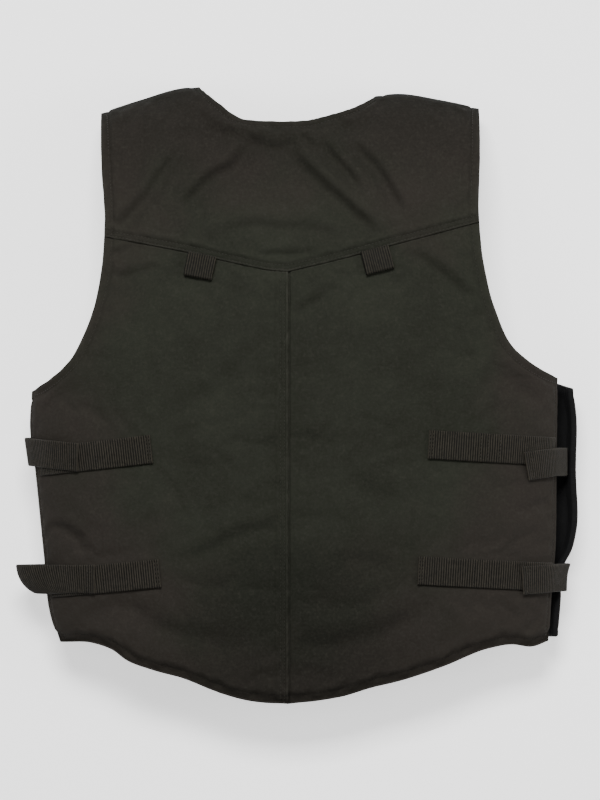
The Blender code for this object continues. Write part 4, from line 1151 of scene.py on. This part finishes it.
# Where the straps run: free is the end on the back (out, up), edgeUp the height where they turn round
# the side, slack how far they bulge there, skew the slant of the free end, and sewnAt the distance
# out where they end under the front. The inside one ends behind the front's side wing instead.
straps = {
    "left_upper": {"side": -1, "free": (0.1863, 0.2215), "edgeUp": 0.2262, "slack": 0.0, "skew": 0.0,
                   "sewnAt": 0.1985, "inside": False},
    "left_lower": {"side": -1, "free": (0.1715, 0.1128), "edgeUp": 0.1120, "slack": 0.0205, "skew": 0.0,
                   "sewnAt": 0.1985, "inside": False},
    "right_upper": {"side": 1, "free": (0.2135, 0.2135), "edgeUp": 0.2170, "slack": 0.0, "skew": -0.0044,
                    "inside": True},
    "right_lower": {"side": 1, "free": (0.2090, 0.1110), "edgeUp": 0.1130, "slack": 0.0, "skew": -0.0018,
                    "sewnAt": 0.2190, "inside": False},
}
wing = {"stop": 0.2370, "bend": [(0.2450, 0.0545), (0.2486, 0.0470), (0.2500, 0.0415)],
        "sewn": (0.2590, 0.2535), "gap": 0.0010}
turnGap = 0.0024  # between a strap and the front's edge that it turns round


def strapPath(strap, side, across):
    overStrip = webbing["layGap"] + webbing["thickness"] + webbing["stackGap"]
    edgeUp = strap["edgeUp"] + across
    edgeOut = np.interp(edgeUp, *backSides[side]) - vestSettings["sideMargin"]
    start = strap["free"][0] + strap["skew"] * (0.5 + across / webbing["width"])
    stop = wing["stop"] if strap["inside"] else edgeOut
    share = np.sin(np.linspace(0, 0.5 * math.pi, 120))
    out = start + (stop - start) * share
    up = strap["free"][1] + (strap["edgeUp"] - strap["free"][1]) * share + across
    path = over(backSurface, out, up, side, overStrip)
    if strap["inside"]:
        bend = np.array([(x, edgeUp, z) for x, z in wing["bend"]])
        points, normal = frontSurface(side * np.linspace(*wing["sewn"], 4), np.full(4, edgeUp))
        rim = over(frontSurface, np.array([np.interp(edgeUp, *frontSides[side])]), edgeUp, side, 0)
        away = np.linalg.norm(points * (side, 1, 1) - rim, axis=1)
        reach = wallThickness(away) + webbing["layGap"] + webbing["thickness"] + wing["gap"]
        behind = (points - normal * reach[:, None]) * (side, 1, 1)
        behind[:, 1] = edgeUp
        knots = np.concatenate([path[::24], path[-1:], bend, behind])
        return hermite(knots, lengthsAlong(knots), np.linspace(0, lengthsAlong(knots)[-1], 400))
    rim = np.interp(edgeUp, *frontSides[side]) - vestSettings["sideMargin"]
    under = over(frontSurface, np.linspace(rim, strap["sewnAt"], 120), np.full(120, edgeUp), side,
                 np.linspace(turnGap, 1.5 * webbing["layGap"], 120))
    backEdge = over(backSurface, np.array([edgeOut]), edgeUp, side, 0)
    frontEdge = over(frontSurface, np.array([rim]), edgeUp, side, 0)
    corners = [roundEdge(backEdge, overStrip, 10, -50), roundEdge(frontEdge, turnGap, 50, -14)]
    return taut(np.concatenate([path] + corners + [under]))


def sideStrap(name, strap):
    side = strap["side"]
    taken = 0.030  # the length that lies on the strip and takes no slack
    paths = [strapPath(strap, side, across) for across in acrossWebbing[::-1]]
    count = int(max(lengthsAlong(path)[-1] for path in paths) / webbing["step"])
    grid = []
    for across, path in zip(acrossShares[::-1], paths):
        length = lengthsAlong(path)[-1]
        path = resampled(path, np.linspace(0, 1, count))
        turn = np.clip((np.linspace(0, length, count) - taken) / (length - taken), 0, 1)
        path[:, 0] += strap["slack"] * math.sqrt(1 - (0.5 - across) ** 2) * np.sin(math.pi * turn) ** 1.5
        grid.append(path * (side, 1, 1))
    grid = np.stack(grid, axis=1)
    # the corners of the chain of points are softened, as webbing bends
    for _ in range(6):
        grid[1:-1] = 0.25 * grid[:-2] + 0.5 * grid[1:-1] + 0.25 * grid[2:]
    return ribbon(name, grid[:, ::-side])  # so that its outer face turns out on both sides


loop = {"length": 0.0190, "tucked": 0.0006, "halfGap": 0.0008}


def hangingLoop(name, rootOut):
    side = 1 if rootOut > 0 else -1
    line = yokeSeams[side]
    seam = line[-1] - line[0]
    seam /= np.hypot(*seam)
    down = np.array([seam[1], -seam[0]]) * side
    root = np.array([rootOut, np.interp(abs(rootOut), np.abs(line[:, 0]), line[:, 1])])
    low = webbing["layGap"] + webbing["thickness"]
    half = loop["halfGap"]
    reach = loop["length"] - half
    run = np.linspace(-loop["tucked"], reach, int(reach / webbing["step"]))[:-1]
    turn = np.linspace(-0.5, 0.5, 11) * math.pi
    away = np.concatenate([run, reach + half * np.cos(turn), run[::-1]])
    lift = np.concatenate([np.full(len(run), low), low + half * (1 + np.sin(turn)),
                           np.full(len(run), low + 2 * half)])
    plan = root + away[:, None, None] * down + acrossWebbing[None, :, None] * seam * side
    points, normal = backSurface(plan[..., 0], plan[..., 1])
    inner = points + normal * lift[:, None, None]
    return ribbon(name, inner[:, ::-1], isLoop=True)


print("sewing on the webbing")
webbingPieces = {}
for label, node, courses, make in (("backStrip_", "back_strip_", strips, backStrip),
                                   ("sideStrap_", "side_strap_", straps, sideStrap),
                                   ("hangingLoop_", "hanging_loop_", loopRoots, hangingLoop)):
    for word, course in courses.items():
        piece = make(label + word, course)
        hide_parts(node + word)
        webbingPieces[node + word] = piece


# Stitches
stitch = {"length": 0.0022, "pitch": 0.0032, "halfWidth": 0.00034, "halfHeight": 0.00028, "sunk": 0.00004,
          "arch": 0.00028, "lowered": 0.00010, "endDepth": 0.00022, "corners": 6,
          "above": 0.006, "search": 0.014, "facing": 0.2,
          "rings": [(0.10, 0.70), (0.32, 1.0), (0.68, 1.0), (0.90, 0.70)]}  # share along, size


def inward(line, at, surface, sign):
    # a seam's line moved sideways by a distance that is measured over the cloth
    line = dense(line, 0.0015)
    tangent = np.gradient(line, axis=0)
    tangent /= np.linalg.norm(tangent, axis=1, keepdims=True)
    across = np.stack([-tangent[:, 1], tangent[:, 0]], axis=1) * sign
    reach = np.linspace(0, 1, 120) ** 2 * (4 * at + 0.004)
    plan = line[:, None] + reach[None, :, None] * across[:, None]
    points = surface(plan[..., 0], plan[..., 1])[0]
    moved = np.empty(line.shape)
    for k in range(len(line)):
        moved[k] = line[k] + across[k] * np.interp(at, lengthsAlong(points[k]), reach)
    return moved


def seatOf(piece):
    corners = [v.co.copy() for v in piece.data.vertices]
    return BVHTree.FromPolygons(corners, [tuple(p.vertices) for p in piece.data.polygons])


def addStitch(points, faces, base, along, face):
    # a short round thread that arches a little and goes into the cloth at both ends
    across = face.cross(along)
    first = len(points)
    around = stitch["corners"]
    for share, size in stitch["rings"]:
        arch = stitch["arch"] * (1 - (2 * share - 1) ** 2) - stitch["lowered"]
        centre = base + along * (share - 0.5) * stitch["length"] + face * arch
        for corner in range(around):
            angle = 2 * math.pi * corner / around
            points.append(centre + across * (math.cos(angle) * stitch["halfWidth"] * size)
                          + face * (math.sin(angle) * stitch["halfHeight"] * size))
    last = len(points) - around
    for ring in range(first, last, around):
        for corner in range(around):
            a = ring + corner
            b = ring + (corner + 1) % around
            faces.append((a, b, b + around, a + around))
    for share in (-0.5, 0.5):
        points.append(base + along * share * stitch["length"] - face * stitch["endDepth"])
    for corner in range(around):
        after = (corner + 1) % around
        faces.append((first + after, first + corner, len(points) - 2))
        faces.append((last + corner, last + after, len(points) - 1))


def sewRow(name, rows, thread=sewingThread):
    # rows of (points over the cloth, directions out of it, tree of the piece that is sewn)
    points = []
    faces = []
    for line, normals, tree in rows:
        lengths = lengthsAlong(line)
        count = int(lengths[-1] / stitch["pitch"])

        def between(values, where):
            return Vector([np.interp(where, lengths, values[:, i]) for i in range(3)])

        for k in range(count):
            at = (k + 0.5) * lengths[-1] / count
            ends = [at - 0.5 * stitch["length"], at + 0.5 * stitch["length"]]
            start, finish = (between(line + toFrame, where) for where in ends)
            outward = (between(normals, ends[0]) + between(normals, ends[1])).normalized()
            middle = (start + finish) / 2
            hit, face, index, far = tree.ray_cast(middle + outward * stitch["above"], -outward,
                                                  stitch["search"])
            if hit is None or face.dot(outward) < stitch["facing"]:
                continue
            along = finish - start
            along = (along - face * along.dot(face)).normalized()
            addStitch(points, faces, hit - face * stitch["sunk"], along, face)
    places = np.array(points) - toFrame
    piece = makeMesh(name, places, faces, [thread], None, places[:, :2])
    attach(piece, "root")
    return piece


def seamRow(line, at, surface, sign, tree):
    moved = inward(line, at, surface, sign)
    points, normal = surface(moved[:, 0], moved[:, 1])
    return points, normal, tree


def backRow(line, side, word, at=sewing["edge"]):
    return seamRow(line, at, backSurface, side, trees[word])


print("stitching the seams")
trees = {word: seatOf(piece) for word, piece in panels.items()}
rows = [backRow(yokeSeams[side], side, "yoke", at) for at in sewing["yoke"] for side in sides]
sewRow("yokeSeamStitches", rows)
rows = [backRow(centreSeam, 1, "backleft", at) for at in sewing["centre"]]
sewRow("centreSeamStitches", rows)
rows = [backRow(neckLines[-1][::-1], 1, "yoke"), backRow(neckLines[1], 1, "yoke")]
for side, word in sides.items():
    rows.append(backRow(aboveYoke[side], side, "yoke"))
    rows += [backRow(backLines[side][part], side, "back" + word) for part in ("side", "armhole")]
sewRow("backEdgeStitches", rows)
rows = [backRow(backLines[side]["hem"], side, "back" + word) for side, word in sides.items()]
sewRow("hemStitches", rows, hemThread)
rows = []
for side, word in sides.items():
    for part, line in frontLines[side].items():
        sign = -side if part in ("neck", "zip") else side
        at = sewing["zip" if part == "zip" else "edge"]
        rows.append(seamRow(line, at, frontSurface, sign, trees["front" + word]))
sewRow("frontEdgeStitches", rows)


def barRow(start, span, at, tree):
    # a row of stitches across a webbing strip
    span = np.array(span) - start
    length = np.hypot(*span)
    across = np.array([-span[1], span[0]]) / length
    width = np.linspace(-0.44, 0.44, 40)[:, None] * webbing["width"]
    plan = np.array(start) + span * at / length + width * across
    points, normal = backSurface(plan[:, 0], plan[:, 1])
    return points + 0.002 * normal, normal, tree


# distances of the bars from the inner end of a strip and from the free end of a strap
bars = {"strip": (0.0014, 0.0040, 0.0500), "right_upper": (0.0014, 0.0040, 0.0470, 0.0535, 0.0640),
        "strap": (0.0042, 0.0065)}
print("stitching the webbing")
rows = []
for word, (inner, outer) in strips.items():
    tree = seatOf(webbingPieces["back_strip_" + word])
    rows += [barRow(inner, outer, at, tree) for at in bars.get(word, bars["strip"])]
for word, strap in straps.items():
    side = strap["side"]
    tree = seatOf(webbingPieces["side_strap_" + word])
    out, up = strap["free"]
    start = (side * (out + 0.5 * strap["skew"]), up)
    rows += [barRow(start, (side * (out + 0.03), up), at, tree) for at in bars["strap"]]
sewRow("webbingStitches", rows, webbingThread)


# The closed zip under the front
print("closing the zip")
zipper = {
    "centre": 0.003,
    "low": 0.055,
    "high": 0.441,
    "tapeWidth": 0.020,
    "tapeLow": 0.0063,
    "tapeThickness": 0.0015,
    "toothPitch": 0.0026,
    "toothWidth": 0.0042,
    "toothLow": 0.0020,
    "toothOut": 0.0010,
    "toothBevel": 0.00018,
    "selvage": 0.0006,
    "join": 0.0003,
}
up = np.linspace(zipper["low"], zipper["high"], 260)
halfTape = [0.02, 0.10, 0.25, 0.40, 0.46, 0.49, 0.5]
acrossTape = np.array([-share for share in halfTape[::-1]] + [0.0] + halfTape) * zipper["tapeWidth"]
tapeOut = zipper["centre"] + acrossTape[None, :]
grid = np.stack(np.broadcast_arrays(tapeOut, up[:, None], zipper["tapeLow"]), axis=-1)
toEdge = 0.5 * zipper["tapeWidth"] - np.abs(acrossTape)
rim = np.minimum(rollOff(toEdge, zipper["selvage"]), zipper["selvage"])
join = zipper["join"] * np.exp(-((acrossTape / 0.0004) ** 2))
upward = np.array((0.0, 0.0, 1.0))
low = grid + (rim + join)[None, :, None] * upward
high = grid + (zipper["tapeThickness"] - rim - join)[None, :, None] * upward
halfway = 0.5 * zipper["tapeThickness"] * upward
low[[0, -1]] += halfway
low[:, [0, -1]] = grid[:, [0, -1]] + halfway
tape = closedShell("zipTape", low, high, [zipCloth], np.stack([grid[..., 0], grid[..., 1]], axis=-1))
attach(tape, "root")
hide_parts("front_zip")

bm = bmesh.new()
count = int((zipper["high"] - zipper["low"]) / zipper["toothPitch"])
toothHeight = 0.5 * (zipper["toothLow"] + zipper["tapeLow"]) + 0.0001
size = Vector((zipper["toothWidth"], 0.40 * zipper["toothPitch"],
               zipper["tapeLow"] - zipper["toothLow"] + 0.0002))
for k in range(2 * count):
    side = -1 if k % 2 else 1
    place = Vector((zipper["centre"] + side * zipper["toothOut"] + toFrame[0],
                    zipper["low"] + (0.5 * k + 0.5) * zipper["toothPitch"] + toFrame[1], toothHeight))
    for v in bmesh.ops.create_cube(bm, size=1.0)["verts"]:
        # the end that meets the other half's teeth is smaller
        narrow, shallow = (0.6, 0.8) if v.co.x * side < 0 else (1.0, 1.0)
        v.co = place + Vector((v.co.x * size.x, v.co.y * size.y * narrow, v.co.z * size.z * shallow))
bmesh.ops.bevel(bm, geom=bm.edges[:], offset=zipper["toothBevel"], segments=1, affect="EDGES")
mesh = bpy.data.meshes.new("zipTeeth")
bm.to_mesh(mesh)
bm.free()
mesh.materials.append(zipPlastic)
teeth = addObject("zipTeeth", mesh)
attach(teeth, "root")


# Stage, light and camera
def plainFloor(name, colour, roughness, glow):
    material = bpy.data.materials.new(name)
    material.use_nodes = True
    shader = material.node_tree.nodes["Principled BSDF"]
    shader.inputs["Base Color"].default_value = rgb(colour)
    shader.inputs["Roughness"].default_value = roughness
    shader.inputs["Emission Color"].default_value = (1, 1, 1, 1)
    shader.inputs["Emission Strength"].default_value = glow
    return material


studio = {"floorColour": (0.93, 0.93, 0.93), "floorGlow": 1.0, "skyStrength": 0.24, "viewHeight": 0.720,
          "cameraHeight": 6.0, "planeHeight": 0.050}
bpy.ops.mesh.primitive_plane_add(size=8.0, location=(0, 0, -0.0004))
floor = bpy.context.object
floor.name = "paleFloor"
floor.data.materials.append(plainFloor("paleFloor", studio["floorColour"], 0.9, studio["floorGlow"]))

world = bpy.data.worlds.new("studioAir")
world.use_nodes = True
world.node_tree.nodes["Background"].inputs["Color"].default_value = (1, 1, 1, 1)
world.node_tree.nodes["Background"].inputs["Strength"].default_value = studio["skyStrength"]
bpy.context.scene.world = world


def softBox(name, place, target, size, power):
    light = bpy.data.lights.new(name, "AREA")
    light.shape = "RECTANGLE"
    light.size, light.size_y = size
    light.energy = power
    lamp = addObject(name, light)
    lamp.location = place
    lamp.rotation_euler = (Vector(target) - Vector(place)).to_track_quat("-Z", "Y").to_euler()


softBox("topSoftBox", (-0.20, 1.70, 3.20), (0, 0.0, 0.05), (1.4, 0.9), 174)
softBox("rightFill", (1.30, 0.00, 1.05), (0, 0, 0.05), (0.7, 0.7), 9)
softBox("leftFill", (-0.90, -0.10, 1.70), (-0.1, -0.1, 0.05), (0.7, 0.7), 5)

camera = bpy.data.cameras.new("camera")
camera.sensor_fit = "VERTICAL"
camera.sensor_height = 24.0
camera.lens = 24.0 * (studio["cameraHeight"] - studio["planeHeight"]) / studio["viewHeight"]
camera.clip_end = 20
cameraObject = addObject("camera", camera)
cameraObject.location = (0.0108 + toFrame[0], 0.2727 + toFrame[1], studio["cameraHeight"])
bpy.context.scene.camera = cameraObject
